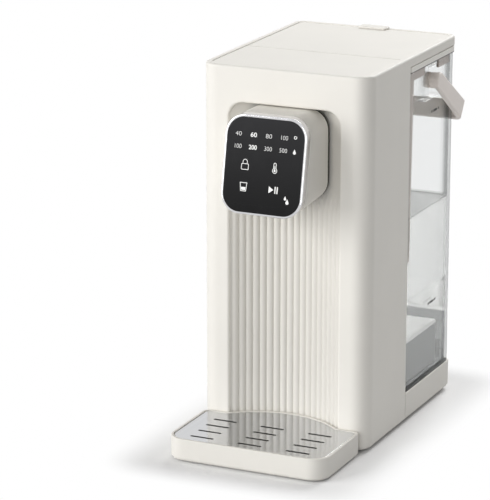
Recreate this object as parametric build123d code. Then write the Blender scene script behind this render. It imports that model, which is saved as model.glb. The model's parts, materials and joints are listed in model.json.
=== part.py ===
"""Countertop hot water dispenser: pull-out rear tank, fluted cup alcove, touch head and drip tray.

Millimetres, +Z up, front towards -Y. Pieces are modelled with y measured back from the body's front
plane and z up from the counter. The export moves them so that the origin is the middle of the footprint.
"""

import os
from math import acos, atan2, cos, hypot, radians, sin

from build123d import *

# Body
BODY_WIDTH = 145.0
BODY_DEPTH = 192.0
BODY_HEIGHT = 308.0
FRONT_CORNER_RADIUS = 14.0
REAR_CORNER_RADIUS = 9.0
RIM_ROUND = 2.0
EDGE_ROUND = 0.6
BASE_ROUND = 1.2
SHELL_WALL = 2.6
SHELL_INSIDE_GAP = 0.2
BULKHEAD_THICKNESS = 2.6
BAY_DEPTH = 60.4

# Base
FOOT_HEIGHT = 2.5
FOOT_RADIUS = 7.0
FOOT_RECESS = 1.0
FOOT_EDGE = 9.5
COVER_THICKNESS = 2.5
COVER_INSET = 1.2
LEDGE_HEIGHT = 26.0
LEDGE_THICKNESS = 2.5
BASE_SEAM = 0.4
BASE_TAB_LENGTH = 12.0
BASE_TAB_THICKNESS = 2.4

# Top frame, deck plate and lid
TOP_BAND = 8.0
RIM_WIDTH = 5.0
LEDGE_WIDTH = 3.0
PLATE_THICKNESS = 3.2
PLATE_DROP = 0.3
PLATE_GAP = 0.4
LID_REST_GAP = 0.3
LID_SEAM = 77.0
RAIL_WIDTH = 8.0
HINGE_SETBACK = 3.2
HINGE_POCKET = 6.0
HINGE_PIN_RADIUS = 0.9
HINGE_PIN_IN_RIM = 3.0
HINGE_PIN_IN_LID = 6.0
TAB_WIDTH = 25.0
TAB_DEPTH = 10.0
TAB_HEIGHT = 1.6
TAB_REAR_INSET = 1.0
RUNNING_GAP = 0.05

# Cup alcove
NICHE_WIDTH = 95.4
NICHE_DEPTH = 21.0
NICHE_DROP = 29.3
NICHE_CORNER_RADIUS = 12.5
NICHE_EDGE_ROUND = 2.0
LINER_WALL = 2.0
LINER_SEAM = 0.1
RIB_COUNT = 18
RIB_HEIGHT = 1.3
RIB_ROOT = 0.6
RIB_EDGE_MARGIN = 1.0
RIB_OVER_HEAD = 11.0
RIB_RUNOUT = 14.0

# Head
HEAD_WIDTH = 69.4
HEAD_REACH = 30.6
HEAD_TOP_GAP = 0.9
HEAD_INSET = 7.5
HEAD_WALL = 3.0
HEAD_CORNER_RADIUS = 16.0
HEAD_SEAL_THICKNESS = 1.8
FACE_HEIGHT = 78.2
FACE_TILT = 11.0
UNDERSIDE_RISE = 3.8
BEZEL_WIDTH = 1.9
BEZEL_DEPTH = 7.0
BEZEL_ROUND = 1.1
PANEL_THICKNESS = 2.0
PANEL_RECESS = 0.3
PANEL_GAP = 0.15
BOARD_THICKNESS = 1.6
BOARD_GAP = 0.3
TOUCH_BOARD_SETBACK = 1.4
NECK_WIDTH = 46.0
NECK_HEIGHT = 42.0
NECK_WALL = 2.0
NECK_FLANGE = 5.0
NECK_POST_RADIUS = 3.2
NECK_POST_LENGTH = 9.0
SPOUT_REACH = 20.0
SPOUT_RADIUS = 6.0
SPOUT_DROP = 3.0
SPOUT_LENGTH = 16.0
SPOUT_FLANGE = 3.0
SPOUT_TIP_LENGTH = 2.0
SPOUT_TIP_WALL = 1.6

# Drip tray
TRAY_WIDTH = 137.0
TRAY_REACH = 76.0
TRAY_HEIGHT = 19.8
TRAY_WALL = 2.0
TRAY_FLOOR = 2.0
TRAY_PAD_HEIGHT = 1.2
TRAY_PAD_RADIUS = 5.0
TRAY_PAD_INSET = 16.0
TRAY_SEAT = 1.8
TRAY_CORNER_RADIUS = 15.0
TRAY_REAR_RADIUS = 6.0
TRAY_FOOT_ROUND = 3.0
TRAY_RIM_ROUND = 0.7
TRAY_BODY_GAP = 0.8
TONGUE_GAP = 1.0
TONGUE_BLEND = 10.0
GRATE_THICKNESS = 1.2
GRATE_GAP = 0.8
GRATE_DROP = 0.5
GRATE_LIFT = 0.3
GRATE_ROUND = 0.3
SLOT_LENGTH = 20.5
SLOT_WIDTH = 2.6
SLOT_COLUMNS = 3
SLOT_ROWS = 4
SLOT_COLUMN_PITCH = 41.5
SLOT_ROW_PITCH = 14.6
SLOT_FROM_FRONT = 12.0

# Water tank and collar
TANK_WALL = 2.4
TANK_FLOOR = 3.0
TANK_SIDE_INSET = 0.8
TANK_FRONT_GAP = 0.8
TANK_BACK_INSET = 2.6
TANK_LIFT = 0.3
TANK_FRONT_RADIUS = 4.0
TANK_REAR_RADIUS = 8.0
TANK_GROOVE = 0.8
COLLAR_HEIGHT = 5.4
COLLAR_BAND_GAP = 0.6
COLLAR_SIDE_INSET = 0.3
COLLAR_BORDER = 10.0
SKIRT_DROP = 8.0
SKIRT_THICKNESS = 2.0
SKIRT_GAP = 0.3
LEG_LENGTH = 150.0
LEG_CORNER_GAP = 0.8
LEG_TOP_WIDTH = 12.0
LEG_FOOT_WIDTH = 6.5
INTAKE_SIDE_GAP = 10.0
INTAKE_FRONT_GAP = 2.0
INTAKE_DEPTH = 80.0
INTAKE_HEIGHT = 37.0
INTAKE_WALL = 2.0
INTAKE_ROUND = 3.0
INTAKE_SLOTS = 11
INTAKE_SLOT_WIDTH = 3.0
INTAKE_SLOT_HEIGHT = 8.0
INTAKE_SLOT_PITCH = 8.0

# Carrying handle
PIVOT_FROM_BACK = 50.0
PIVOT_DROP = 29.5
POCKET_SIZE = 26.0
POCKET_DEPTH = 8.4
PIVOT_PIN_RADIUS = 3.0
PIVOT_PIN_LENGTH = 8.6
BOSS_RADIUS = 6.6
BOSS_GROOVE_WIDTH = 1.8
BOSS_GROOVE_DEPTH = 1.5
BOSS_FLOOR_GAP = 0.4
STRAP_THICKNESS = 4.4
STRAP_PIVOT_WIDTH = 13.8
STRAP_END_WIDTH = 17.0
STRAP_ROUND = 1.2
STRAP_CORNER_RADIUS = 6.0
HANDLE_SIDE_GAP = 0.5
HANDLE_SWING_GAP = 5.0
HANDLE_REST_GAP = 0.6

# Tank valve and level float
VALVE_X = -36.0
VALVE_HEIGHT = 42.0
VALVE_RADIUS = 8.0
VALVE_BORE = 5.0
VALVE_SEAT = 3.4
VALVE_NOSE = 6.0
VALVE_TAIL = 10.0
VALVE_LIP = 2.0
VALVE_FLANGE = 3.0
VALVE_FLANGE_THICKNESS = 2.0
GASKET_THICKNESS = 1.0
POPPET_HEAD = 2.5
POPPET_CLEARANCE = 0.4
POPPET_STEM = 1.5
POPPET_NOSE = 2.6
SPRING_WIRE = 0.7
SPRING_RADIUS = 3.2
SPRING_TURNS = 4
SOCKET_GAP = 0.4
SOCKET_WALL = 2.0
SOCKET_FLOOR = 2.0
SOCKET_DEPTH_GAP = 1.0
FLOAT_X = 30.0
FLOAT_RADIUS = 10.0
FLOAT_HEIGHT = 12.0
FLOAT_POST_RADIUS = 2.0
FLOAT_POST_HEIGHT = 28.0
FLOAT_REST = 2.5
FLOAT_GAP = 0.4
REED_SIZE = (26.0, 8.0, 5.0)

# Pump, heater and hoses
SPIGOT_RADIUS = 3.5
SPIGOT_BORE = 2.0
SPIGOT_LENGTH = 6.0
SPIGOT_SPACE = 1.5
HOSE_WALL = 1.8
HOSE_FIT = 0.05
HOSE_BEND = 12.0
VOLUTE_RADIUS = 17.0
VOLUTE_LENGTH = 12.0
VOLUTE_WALL = 2.5
PUMP_COVER = 3.0
MOTOR_RADIUS = 14.0
MOTOR_LENGTH = 26.0
SHAFT_RADIUS = 1.5
SHAFT_IN_MOTOR = 18.0
IMPELLER_GAP = 1.0
IMPELLER_DISC = 1.6
IMPELLER_HUB = 4.0
IMPELLER_BLADES = 6
BLADE_THICKNESS = 1.4
CRADLE_WIDTH = 22.0
CRADLE_LENGTH = 18.0
CRADLE_GAP = 0.2
HEATER_X = 38.0
HEATER_RADIUS = 16.0
HEATER_WALL = 2.0
HEATER_LOW = 72.0
HEATER_HEADROOM = 51.5
HEATER_CAP = 8.0
HEATER_CAP_LIP = 1.0
HEATER_PORT = 10.0
CLIP_WALL = 2.4
CLIP_HEIGHT = 10.0
CLIP_FIT = 0.15
CLIP_MARGIN = 26.0
CUTOUT_RADIUS = 7.0
CUTOUT_LENGTH = 6.0
CUTOUT_SPACING = 24.0
PROBE_RADIUS = 2.5
PROBE_LENGTH = 14.0

# Power board
BOARD_X = -35.0
BOARD_WIDTH = 56.0
BOARD_LOW = 104.0
BOARD_HEIGHT = 118.0
STANDOFF = 6.0
STANDOFF_RADIUS = 3.0
STANDOFF_EDGE = 5.0
RELAY_SIZE = (19.0, 16.0, 22.0)
TRANSFORMER_SIZE = (26.0, 20.0, 24.0)
CAPACITOR_RADIUS = 6.0
CAPACITOR_LENGTH = 20.0
SINK_SIZE = (34.0, 16.0, 24.0)
SINK_FINS = 6
SINK_FIN = 1.6

# Cord gland and screws
GLAND_X = 40.0
GLAND_HEIGHT = 14.5
GLAND_RADIUS = 7.0
GLAND_BORE = 3.9
GLAND_FLANGE = 1.8
GLAND_FLANGE_THICKNESS = 2.0
GLAND_LENGTH = 12.0
SCREW_RADIUS = 1.4
SCREW_HEAD_RADIUS = 2.7
RECESS_LENGTH = 3.2
RECESS_WIDTH = 0.8
RECESS_DEPTH = 0.9
SCREW_HEAD = 1.6
SCREW_LENGTH = 10.0
SCREW_GAP = 0.1
BOSS_WALL = 2.4
BOSS_HEIGHT = 16.0
SHELL_BOSS_FROM_FRONT = 42.0
BASE_BOSS_FROM_BACK = 40.0
BULKHEAD_BOSS_DROP = 28.0

# Places worked out from the sizes above
half_width = BODY_WIDTH / 2
housing_back = NICHE_DEPTH + LINER_WALL + BAY_DEPTH + BULKHEAD_THICKNESS
bulkhead_front = housing_back - BULKHEAD_THICKNESS
boss_reach = SCREW_RADIUS + BOSS_WALL
cover_top = FOOT_HEIGHT + COVER_THICKNESS
band_bottom = BODY_HEIGHT - TOP_BAND
plate_top = BODY_HEIGHT - PLATE_DROP
plate_seat = plate_top - PLATE_THICKNESS
liner_front = SHELL_WALL + LINER_SEAM
niche_bow = NICHE_DEPTH - liner_front
niche_radius = (NICHE_WIDTH ** 2 / 4 + niche_bow ** 2) / (2 * niche_bow)
niche_axis = NICHE_DEPTH - niche_radius
niche_top = BODY_HEIGHT - NICHE_DROP
hinge_y = LID_SEAM + PLATE_GAP + HINGE_SETBACK
hinge_z = plate_top - PLATE_THICKNESS / 2
head_top = niche_top - HEAD_TOP_GAP
tilt = radians(FACE_TILT)
face_head = (-HEAD_REACH, head_top)
face_foot = (-HEAD_REACH - FACE_HEIGHT * sin(tilt), head_top - FACE_HEIGHT * cos(tilt))
neck_middle = (head_top + face_foot[1] + UNDERSIDE_RISE) / 2
panel_back = -PANEL_RECESS - PANEL_THICKNESS
grate_top = TRAY_HEIGHT - GRATE_DROP
collar_top = band_bottom - COLLAR_BAND_GAP
tank_top = collar_top - COLLAR_HEIGHT
tank_half = half_width - TANK_SIDE_INSET
tank_front = housing_back + TANK_FRONT_GAP
tank_back = BODY_DEPTH - TANK_BACK_INSET
tank_low = LEDGE_HEIGHT + TANK_LIFT
tank_floor = tank_low + TANK_FLOOR
pivot_y = BODY_DEPTH - PIVOT_FROM_BACK
pivot_z = BODY_HEIGHT - PIVOT_DROP
pocket_floor = tank_half - POCKET_DEPTH
strap_inside = half_width + HANDLE_SIDE_GAP
grip_radius = hypot(PIVOT_FROM_BACK, PIVOT_DROP) + HANDLE_SWING_GAP
nose_y = tank_front - VALVE_NOSE
valve_back = tank_front + TANK_WALL + VALVE_TAIL
socket_front = nose_y - SOCKET_DEPTH_GAP - SOCKET_FLOOR
inlet_front = socket_front - 2 * SPIGOT_LENGTH - SPIGOT_SPACE
volute_back = inlet_front - PUMP_COVER
motor_back = volute_back - VOLUTE_LENGTH
outlet_y = volute_back - VOLUTE_LENGTH / 2
heater_top = neck_middle - HEATER_HEADROOM
heater_length = heater_top - HEATER_LOW
port_z = HEATER_LOW + HEATER_PORT
float_y = tank_front + TANK_WALL + INTAKE_FRONT_GAP + INTAKE_DEPTH / 2

UP = (0, 0, 1)
BACK = (0, 1, 0)
RIGHT = (1, 0, 0)
SIDES = (-1, 1)


def block(x, y, z):
    """Box between a low and a high value along each axis."""
    pairs = (x, y, z)
    return Pos(*[(low + high) / 2 for low, high in pairs]) * Box(*[high - low for low, high in pairs])


def rod(start, direction, length, radius):
    """Round bar from a start point along a direction."""
    return extrude(Plane(origin=start, z_dir=direction) * Circle(radius), length)


def pipe(start, direction, length, radius, bore):
    """Round tube from a start point along a direction."""
    return extrude(Plane(origin=start, z_dir=direction) * (Circle(radius) - Circle(bore)), length)


def prism(face, low, high):
    """Plan outline raised from one height to another."""
    return extrude(Pos(0, 0, low) * face, high - low)


def rounded_plan(half, front, back, front_radius, rear_radius):
    """Rectangular plan outline with its own radius on the front and on the rear corners."""
    face = Pos(0, (front + back) / 2) * Rectangle(2 * half, back - front)
    face = fillet(face.vertices().group_by(Axis.Y)[-1], rear_radius)
    return fillet(face.vertices().group_by(Axis.Y)[0], front_radius)


def body_plan(inset):
    """Outline of the body seen from above, moved in by inset."""
    front = FRONT_CORNER_RADIUS - inset
    rear = REAR_CORNER_RADIUS - inset
    return rounded_plan(half_width - inset, inset, BODY_DEPTH - inset, front, rear)


def between(part, front, back):
    """The stretch of a body piece between two distances from the front plane."""
    return part & block((-BODY_WIDTH, BODY_WIDTH), (front, back), (-BODY_HEIGHT, 2 * BODY_HEIGHT))


def top_edges(part):
    """Outer edges of a piece's highest face."""
    return part.faces().sort_by(Axis.Z)[-1].outer_wire().edges()


def low_edges(part):
    """Outer edges of a piece's lowest face."""
    return part.faces().sort_by(Axis.Z)[0].outer_wire().edges()


def group(solids):
    """Separate solids kept in one node."""
    return Compound(children=[solid for part in solids for solid in part.solids()])


def screw(place, direction):
    """Cross-recess screw: place is the underside of its head, direction the way the shank points."""
    head_way = tuple(-value for value in direction)
    solid = rod(place, direction, SCREW_LENGTH, SCREW_RADIUS)
    solid += rod(place, head_way, SCREW_HEAD, SCREW_HEAD_RADIUS)
    crown = [start + step * SCREW_HEAD for start, step in zip(place, head_way)]
    recess = Box(RECESS_LENGTH, RECESS_WIDTH, 2 * RECESS_DEPTH)
    recess += Box(RECESS_WIDTH, RECESS_LENGTH, 2 * RECESS_DEPTH)
    return solid - Plane(origin=tuple(crown), z_dir=head_way) * recess


def screw_hole(place, direction, length):
    """Hole for a screw's shank."""
    return rod(place, direction, length, SCREW_RADIUS + SCREW_GAP)


def arch_space(grow, rear):
    """Space through the front with upright sides and a flat ceiling with rounded corners."""
    top = niche_top + grow
    half = NICHE_WIDTH / 2 + grow
    arch = Pos(0, top / 2) * Rectangle(2 * half, top)
    arch = fillet(arch.vertices().group_by(Axis.Y)[-1], NICHE_CORNER_RADIUS + grow)
    return extrude(Pos(0, rear, 0) * (Plane.XZ * arch), rear + niche_radius)


def niche_space(grow):
    """Space of the cup alcove: the arch with a curved back."""
    cylinder = rod((0, niche_axis, 0), UP, niche_top + grow, niche_radius + grow)
    return arch_space(grow, BODY_DEPTH) & cylinder


def boss_x(side):
    """Sideways place of every screw post's hole."""
    return side * (half_width - SHELL_WALL - boss_reach)


def boss_span(side):
    """Sideways span of a screw post, from inside a side wall to the post's free face."""
    return sorted((side * (half_width - SHELL_WALL - 2 * boss_reach), side * (half_width - SHELL_WALL / 2)))


def side_post(side, y, z):
    """Square screw post grown out of a side wall."""
    return block(boss_span(side), (y - boss_reach, y + boss_reach), z)


def bulkhead_screw_heights():
    """Heights of the screws that hold the bulkhead to the shell."""
    return LEDGE_HEIGHT + BULKHEAD_BOSS_DROP, band_bottom - BULKHEAD_BOSS_DROP


def housing_shell():
    """Front, sides and top frame in one moulding; the top frame runs on over the tank."""
    shell = prism(body_plan(0), cover_top, BODY_HEIGHT)
    shell -= block((-BODY_WIDTH, BODY_WIDTH), (housing_back, 2 * BODY_DEPTH), (0, band_bottom))
    shell = fillet(top_edges(shell), RIM_ROUND)
    shell = fillet(shell.edges().filter_by(is_rear_edge), EDGE_ROUND)
    shell -= between(prism(body_plan(SHELL_WALL), 0, band_bottom), 0, 2 * BODY_DEPTH)
    shell -= prism(body_plan(RIM_WIDTH), plate_seat, 2 * BODY_HEIGHT)
    hole = prism(body_plan(RIM_WIDTH + LEDGE_WIDTH), 0, 2 * BODY_HEIGHT)
    shell -= between(hole, 0, LID_SEAM - RAIL_WIDTH)
    shell -= between(hole, LID_SEAM, BODY_DEPTH)
    hinge_zone = (LID_SEAM, hinge_y + HINGE_SETBACK + HINGE_POCKET)
    inner = half_width - RIM_WIDTH
    shell -= block((-inner, inner), hinge_zone, (0, 2 * BODY_HEIGHT))
    shell -= arch_space(0, 2 * SHELL_WALL)
    edges = [edge for edge in shell.edges() if is_niche_edge(edge)]
    shell = fillet(edges, NICHE_EDGE_ROUND)
    for side in SIDES:
        start = (side * (half_width - RIM_WIDTH - RUNNING_GAP), hinge_y, hinge_z)
        depth = HINGE_PIN_IN_RIM + 2 * RUNNING_GAP
        shell -= rod(start, (side, 0, 0), depth, HINGE_PIN_RADIUS + RUNNING_GAP)
        shell += side_post(side, SHELL_BOSS_FROM_FRONT, (cover_top, cover_top + BOSS_HEIGHT))
        shell -= screw_hole((boss_x(side), SHELL_BOSS_FROM_FRONT, 0), UP, cover_top + SCREW_LENGTH)
        for z in bulkhead_screw_heights():
            y = (bulkhead_front - BOSS_HEIGHT, bulkhead_front)
            shell += block(boss_span(side), y, (z - boss_reach, z + boss_reach))
            shell -= screw_hole((boss_x(side), bulkhead_front, z), (0, -1, 0), SCREW_LENGTH)
    return shell


def is_rear_edge(edge):
    """Whether an edge bounds the open bay that the tank stands in."""
    middle = edge.center()
    upright = abs(middle.Y - housing_back) < RUNNING_GAP and abs(middle.X) > half_width - RUNNING_GAP
    under_band = abs(middle.Z - band_bottom) < RUNNING_GAP and middle.Y > housing_back + RUNNING_GAP
    return upright or under_band


def is_niche_edge(edge):
    """Whether an edge is where the front face turns into the alcove."""
    middle = edge.center()
    on_front = abs(middle.Y) < RUNNING_GAP
    inside = abs(middle.X) < NICHE_WIDTH / 2 + RUNNING_GAP
    return on_front and inside and middle.Z > cover_top + TRAY_HEIGHT


def arc_point(radius, angle):
    """Point of the alcove's plan at a radius and an angle from straight back."""
    return radius * sin(angle), niche_axis + radius * cos(angle)


def rib_face():
    """Plan of the alcove's upright half-round ribs."""
    start_y = liner_front + RIB_EDGE_MARGIN
    span = acos((start_y - niche_axis) / niche_radius)
    pitch = 2 * span / RIB_COUNT
    root = niche_radius + RIB_ROOT
    lines = [ThreePointArc(arc_point(root, -span), arc_point(root, 0), arc_point(root, span))]
    lines.append(Line(arc_point(root, -span), arc_point(niche_radius, -span)))
    lines.append(Line(arc_point(root, span), arc_point(niche_radius, span)))
    for index in range(RIB_COUNT):
        left = pitch * index - span
        ends = [arc_point(niche_radius, left), arc_point(niche_radius, left + pitch)]
        crown = arc_point(niche_radius - RIB_HEIGHT, left + pitch / 2)
        lines.append(ThreePointArc(ends[0], crown, ends[1]))
    return make_face(lines)


def alcove_ribs():
    """Upright ribs that run out into the wall behind the head."""
    top = face_foot[1] + RIB_OVER_HEAD
    run_out = Cone(niche_radius - RIB_HEIGHT, niche_radius + RIB_ROOT / 2, RIB_RUNOUT)
    return prism(rib_face(), cover_top, top) - Pos(0, niche_axis, top - RIB_RUNOUT / 2) * run_out


def alcove_liner():
    """Curved alcove wall and ceiling with half-round ribs below the head and a window for the neck."""
    liner = niche_space(LINER_WALL) - niche_space(0)
    liner &= block((-BODY_WIDTH, BODY_WIDTH), (liner_front, BODY_DEPTH), (cover_top, BODY_HEIGHT))
    liner += alcove_ribs()
    half = NECK_WIDTH / 2 + SHELL_INSIDE_GAP
    tall = NECK_HEIGHT / 2 + SHELL_INSIDE_GAP
    return liner - block((-half, half), (0, BODY_DEPTH), (neck_middle - tall, neck_middle + tall))


def deck_plate():
    """Fixed plate in the front of the top frame."""
    plate = prism(body_plan(RIM_WIDTH + PLATE_GAP), plate_seat, plate_top)
    plate = between(plate, 0, LID_SEAM - PLATE_GAP)
    return fillet(top_edges(plate), EDGE_ROUND)


def top_lid():
    """Hinged lid over the tank's mouth, with a finger tab on its rear edge."""
    low = plate_seat + LID_REST_GAP
    lid = between(prism(body_plan(RIM_WIDTH + PLATE_GAP), low, plate_top), LID_SEAM + PLATE_GAP, BODY_DEPTH)
    lid = fillet(top_edges(lid), EDGE_ROUND)
    rear = BODY_DEPTH - TAB_REAR_INSET
    tab = Pos(0, rear - TAB_DEPTH / 2) * RectangleRounded(TAB_WIDTH, TAB_DEPTH, TAB_DEPTH / 4)
    tab_low = BODY_HEIGHT + LID_REST_GAP
    tab = prism(tab, tab_low, BODY_HEIGHT + TAB_HEIGHT)
    lid += fillet(top_edges(tab), EDGE_ROUND)
    stem_back = BODY_DEPTH - RIM_WIDTH - 2 * PLATE_GAP
    stem = TAB_WIDTH / 2 - TAB_DEPTH / 4
    stem_z = (plate_top - PLATE_THICKNESS / 2, tab_low + RUNNING_GAP)
    lid += block((-stem, stem), (rear - TAB_DEPTH + TAB_REAR_INSET, stem_back), stem_z)
    for side in SIDES:
        start = (side * half_width, hinge_y, hinge_z)
        reach = RIM_WIDTH + PLATE_GAP + HINGE_PIN_IN_LID + RUNNING_GAP
        lid -= rod(start, (-side, 0, 0), reach, HINGE_PIN_RADIUS + RUNNING_GAP)
    return lid


def lid_hinge_pins():
    """Two steel pins fixed in the rim, on which the lid turns."""
    pins = []
    for side in SIDES:
        start = (side * (half_width - RIM_WIDTH + HINGE_PIN_IN_RIM), hinge_y, hinge_z)
        length = HINGE_PIN_IN_RIM + PLATE_GAP + HINGE_PIN_IN_LID
        pins.append(rod(start, (-side, 0, 0), length, HINGE_PIN_RADIUS))
    return group(pins)


def meet(point, way, other, other_way):
    """Crossing of two lines in the side view."""
    cross = way[0] * other_way[1] - way[1] * other_way[0]
    gap = (other[0] - point[0], other[1] - point[1])
    along = (gap[0] * other_way[1] - gap[1] * other_way[0]) / cross
    return point[0] + way[0] * along, point[1] + way[1] * along


def head_block(inset, forward):
    """Head volume with its walls moved in by inset and its tilted face moved forward."""
    face_way = (-sin(tilt), -cos(tilt))
    face_point = (face_head[0] - forward * cos(tilt), face_head[1] + forward * sin(tilt))
    rear = HEAD_INSET - inset
    under_way = (HEAD_INSET - face_foot[0], UNDERSIDE_RISE)
    length = hypot(*under_way)
    lift = (-under_way[1] / length * inset, under_way[0] / length * inset)
    under_point = (face_foot[0] + lift[0], face_foot[1] + lift[1])
    corners = [
        meet(face_point, face_way, (0, head_top - inset), (1, 0)),
        (rear, head_top - inset),
        meet(under_point, under_way, (rear, 0), (0, 1)),
        meet(face_point, face_way, under_point, under_way),
    ]
    side_view = make_face(Polyline(*corners, close=True))
    half = HEAD_WIDTH / 2 - inset
    solid = extrude(Plane.YZ * side_view, half, both=True)
    long_edges = solid.edges().filter_by(lambda edge: abs(abs(edge.center().X) - half) < RUNNING_GAP)
    long_edges = long_edges.sort_by(lambda edge: edge.center().Z)
    return fillet(long_edges[:2] + long_edges[-2:], HEAD_CORNER_RADIUS - inset)


def underside_at(y):
    """Height of the head's underside at a distance from the front plane."""
    return face_foot[1] + UNDERSIDE_RISE * (y - face_foot[0]) / (HEAD_INSET - face_foot[0])


def neck_posts():
    """Places of the screws that hold the head to its neck."""
    x = NECK_WIDTH / 2 - NECK_POST_RADIUS - NECK_WALL / 2
    z = NECK_HEIGHT / 2 - NECK_POST_RADIUS - NECK_WALL / 2
    return [(a * x, neck_middle + b * z) for a in SIDES for b in SIDES]


def head_shell():
    """Hollow head with a sleeve that backs the panel, the spout's hole and the neck's window."""
    sleeve = head_block(BEZEL_WIDTH + PANEL_GAP, panel_back - PANEL_GAP)
    shell = head_block(0, -BEZEL_DEPTH) + sleeve - head_block(HEAD_WALL, BEZEL_DEPTH)
    shell -= rod((0, -SPOUT_REACH, 0), UP, neck_middle, SPOUT_RADIUS + SCREW_GAP)
    half = NECK_WIDTH / 2 - 2 * NECK_POST_RADIUS - NECK_WALL
    tall = NECK_HEIGHT / 2 - 2 * NECK_POST_RADIUS - NECK_WALL
    shell -= block((-half, half), (0, BODY_DEPTH), (neck_middle - tall, neck_middle + tall))
    for x, z in neck_posts():
        shell -= screw_hole((x, 0, z), BACK, BODY_DEPTH)
    return shell


def head_seal():
    """Dark rubber plate that closes the gap behind the head, with a window for the neck."""
    rear = head_block(0, 0).faces().sort_by(Axis.Y)[-1]
    seal = extrude(rear, HEAD_SEAL_THICKNESS, dir=BACK)
    half = NECK_WIDTH / 2 + SCREW_GAP
    tall = NECK_HEIGHT / 2 + SCREW_GAP
    return seal - block((-half, half), (0, BODY_DEPTH), (neck_middle - tall, neck_middle + tall))


def head_bezel():
    """Bright frame round the touch panel."""
    ring = head_block(0, 0) - head_block(0, -BEZEL_DEPTH)
    ring -= head_block(BEZEL_WIDTH, BEZEL_DEPTH)
    front = ring.faces().filter_by(GeomType.PLANE).sort_by(lambda face: face.center().Y)[0]
    return fillet(front.outer_wire().edges(), BEZEL_ROUND)


def touch_panel():
    """Dark glass panel inside the bezel."""
    inset = BEZEL_WIDTH + PANEL_GAP
    return head_block(inset, -PANEL_RECESS) - head_block(inset, panel_back)


def touch_board():
    """Circuit board behind the touch panel."""
    inset = HEAD_WALL + BOARD_GAP
    front = panel_back - TOUCH_BOARD_SETBACK
    return head_block(inset, front) - head_block(inset, front - BOARD_THICKNESS)


def head_neck():
    """Square duct that carries the head from inside the housing."""
    x = NECK_WIDTH / 2
    z = NECK_HEIGHT / 2
    back = NICHE_DEPTH + LINER_WALL + SHELL_INSIDE_GAP
    end = back + NECK_WALL
    neck = block((-x, x), (HEAD_INSET, end), (neck_middle - z, neck_middle + z))
    wide, tall = x + NECK_FLANGE, z + NECK_FLANGE
    neck += block((-wide, wide), (back, end), (neck_middle - tall, neck_middle + tall))
    x -= NECK_WALL
    z -= NECK_WALL
    neck -= block((-x, x), (0, BODY_DEPTH), (neck_middle - z, neck_middle + z))
    for post_x, post_z in neck_posts():
        neck += rod((post_x, HEAD_INSET, post_z), BACK, NECK_POST_LENGTH, NECK_POST_RADIUS)
        neck -= screw_hole((post_x, HEAD_INSET, post_z), BACK, NECK_POST_LENGTH)
    return neck


def head_screws():
    """Screws from inside the head into the neck."""
    return group([screw((x, HEAD_INSET - HEAD_WALL, z), BACK) for x, z in neck_posts()])


def spout_low():
    """Height of the spout body's lower end."""
    return underside_at(-SPOUT_REACH) - SPOUT_DROP


def spout():
    """Hot water spout through the head's underside, with a hose spigot on top."""
    base = (0, -SPOUT_REACH, spout_low())
    body = rod(base, UP, SPOUT_LENGTH, SPOUT_RADIUS)
    body = fillet(low_edges(body), EDGE_ROUND)
    top = (0, -SPOUT_REACH, spout_low() + SPOUT_LENGTH)
    body += rod(top, UP, SPIGOT_LENGTH, SPIGOT_RADIUS)
    inner = SPOUT_RADIUS + SPOUT_FLANGE
    flange_low = underside_at(inner - SPOUT_REACH) + HEAD_WALL / cos(tilt) + SCREW_GAP
    body += rod((0, -SPOUT_REACH, flange_low), UP, SPOUT_FLANGE / 2, inner)
    return body - rod(base, UP, SPOUT_LENGTH + SPIGOT_LENGTH, SPIGOT_BORE)


def spout_tip():
    """Soft ring on the spout's mouth."""
    start = (0, -SPOUT_REACH, spout_low())
    return pipe(start, (0, 0, -1), SPOUT_TIP_LENGTH, SPOUT_RADIUS, SPOUT_RADIUS - SPOUT_TIP_WALL)


def tray_outline():
    """Plan of the drip tray: a rounded rectangle with a tongue that fills the alcove."""
    rear = -TRAY_BODY_GAP
    half = TRAY_WIDTH / 2
    plan = Pos(0, (rear - TRAY_REACH) / 2) * Rectangle(TRAY_WIDTH, TRAY_REACH + rear)
    circle = Pos(0, niche_axis) * Circle(niche_radius - RIB_HEIGHT - TONGUE_GAP)
    plan += circle & (Pos(0, BODY_DEPTH / 2 + rear) * Rectangle(TRAY_WIDTH, BODY_DEPTH))
    plan = fillet(plan.vertices().group_by(Axis.Y)[0], TRAY_CORNER_RADIUS)
    rear_line = plan.vertices().filter_by(lambda point: abs(point.Y - rear) < RUNNING_GAP)
    corners = rear_line.filter_by(lambda point: abs(abs(point.X) - half) < RUNNING_GAP)
    plan = fillet(corners, TRAY_REAR_RADIUS)
    rear_line = plan.vertices().filter_by(lambda point: abs(point.Y - rear) < RUNNING_GAP)
    roots = rear_line.sort_by(lambda point: abs(point.X))[:2]
    straight = half - TRAY_REAR_RADIUS - abs(roots[0].X)
    return fillet(roots, min(TONGUE_BLEND, straight))


def drip_tray():
    """Open tray with a seat for the grate."""
    outline = tray_outline()
    tray = prism(outline, TRAY_PAD_HEIGHT, TRAY_HEIGHT)
    tray = fillet(low_edges(tray), TRAY_FOOT_ROUND)
    tray = fillet(top_edges(tray), TRAY_RIM_ROUND)
    seat = grate_top - GRATE_THICKNESS - GRATE_LIFT
    tray -= prism(offset(outline, -TRAY_WALL), seat, 2 * TRAY_HEIGHT)
    floor = TRAY_PAD_HEIGHT + TRAY_FLOOR
    return tray - prism(offset(outline, -TRAY_WALL - TRAY_SEAT), floor, 2 * TRAY_HEIGHT)


def tray_pads():
    """Four soft pads under the tray's floor."""
    x = TRAY_WIDTH / 2 - TRAY_PAD_INSET
    rows = (TRAY_PAD_INSET - TRAY_REACH, -TRAY_BODY_GAP - TRAY_PAD_INSET)
    pads = [rod((side * x, y, 0), UP, TRAY_PAD_HEIGHT, TRAY_PAD_RADIUS) for side in SIDES for y in rows]
    return group([fillet(low_edges(pad), EDGE_ROUND) for pad in pads])


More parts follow.
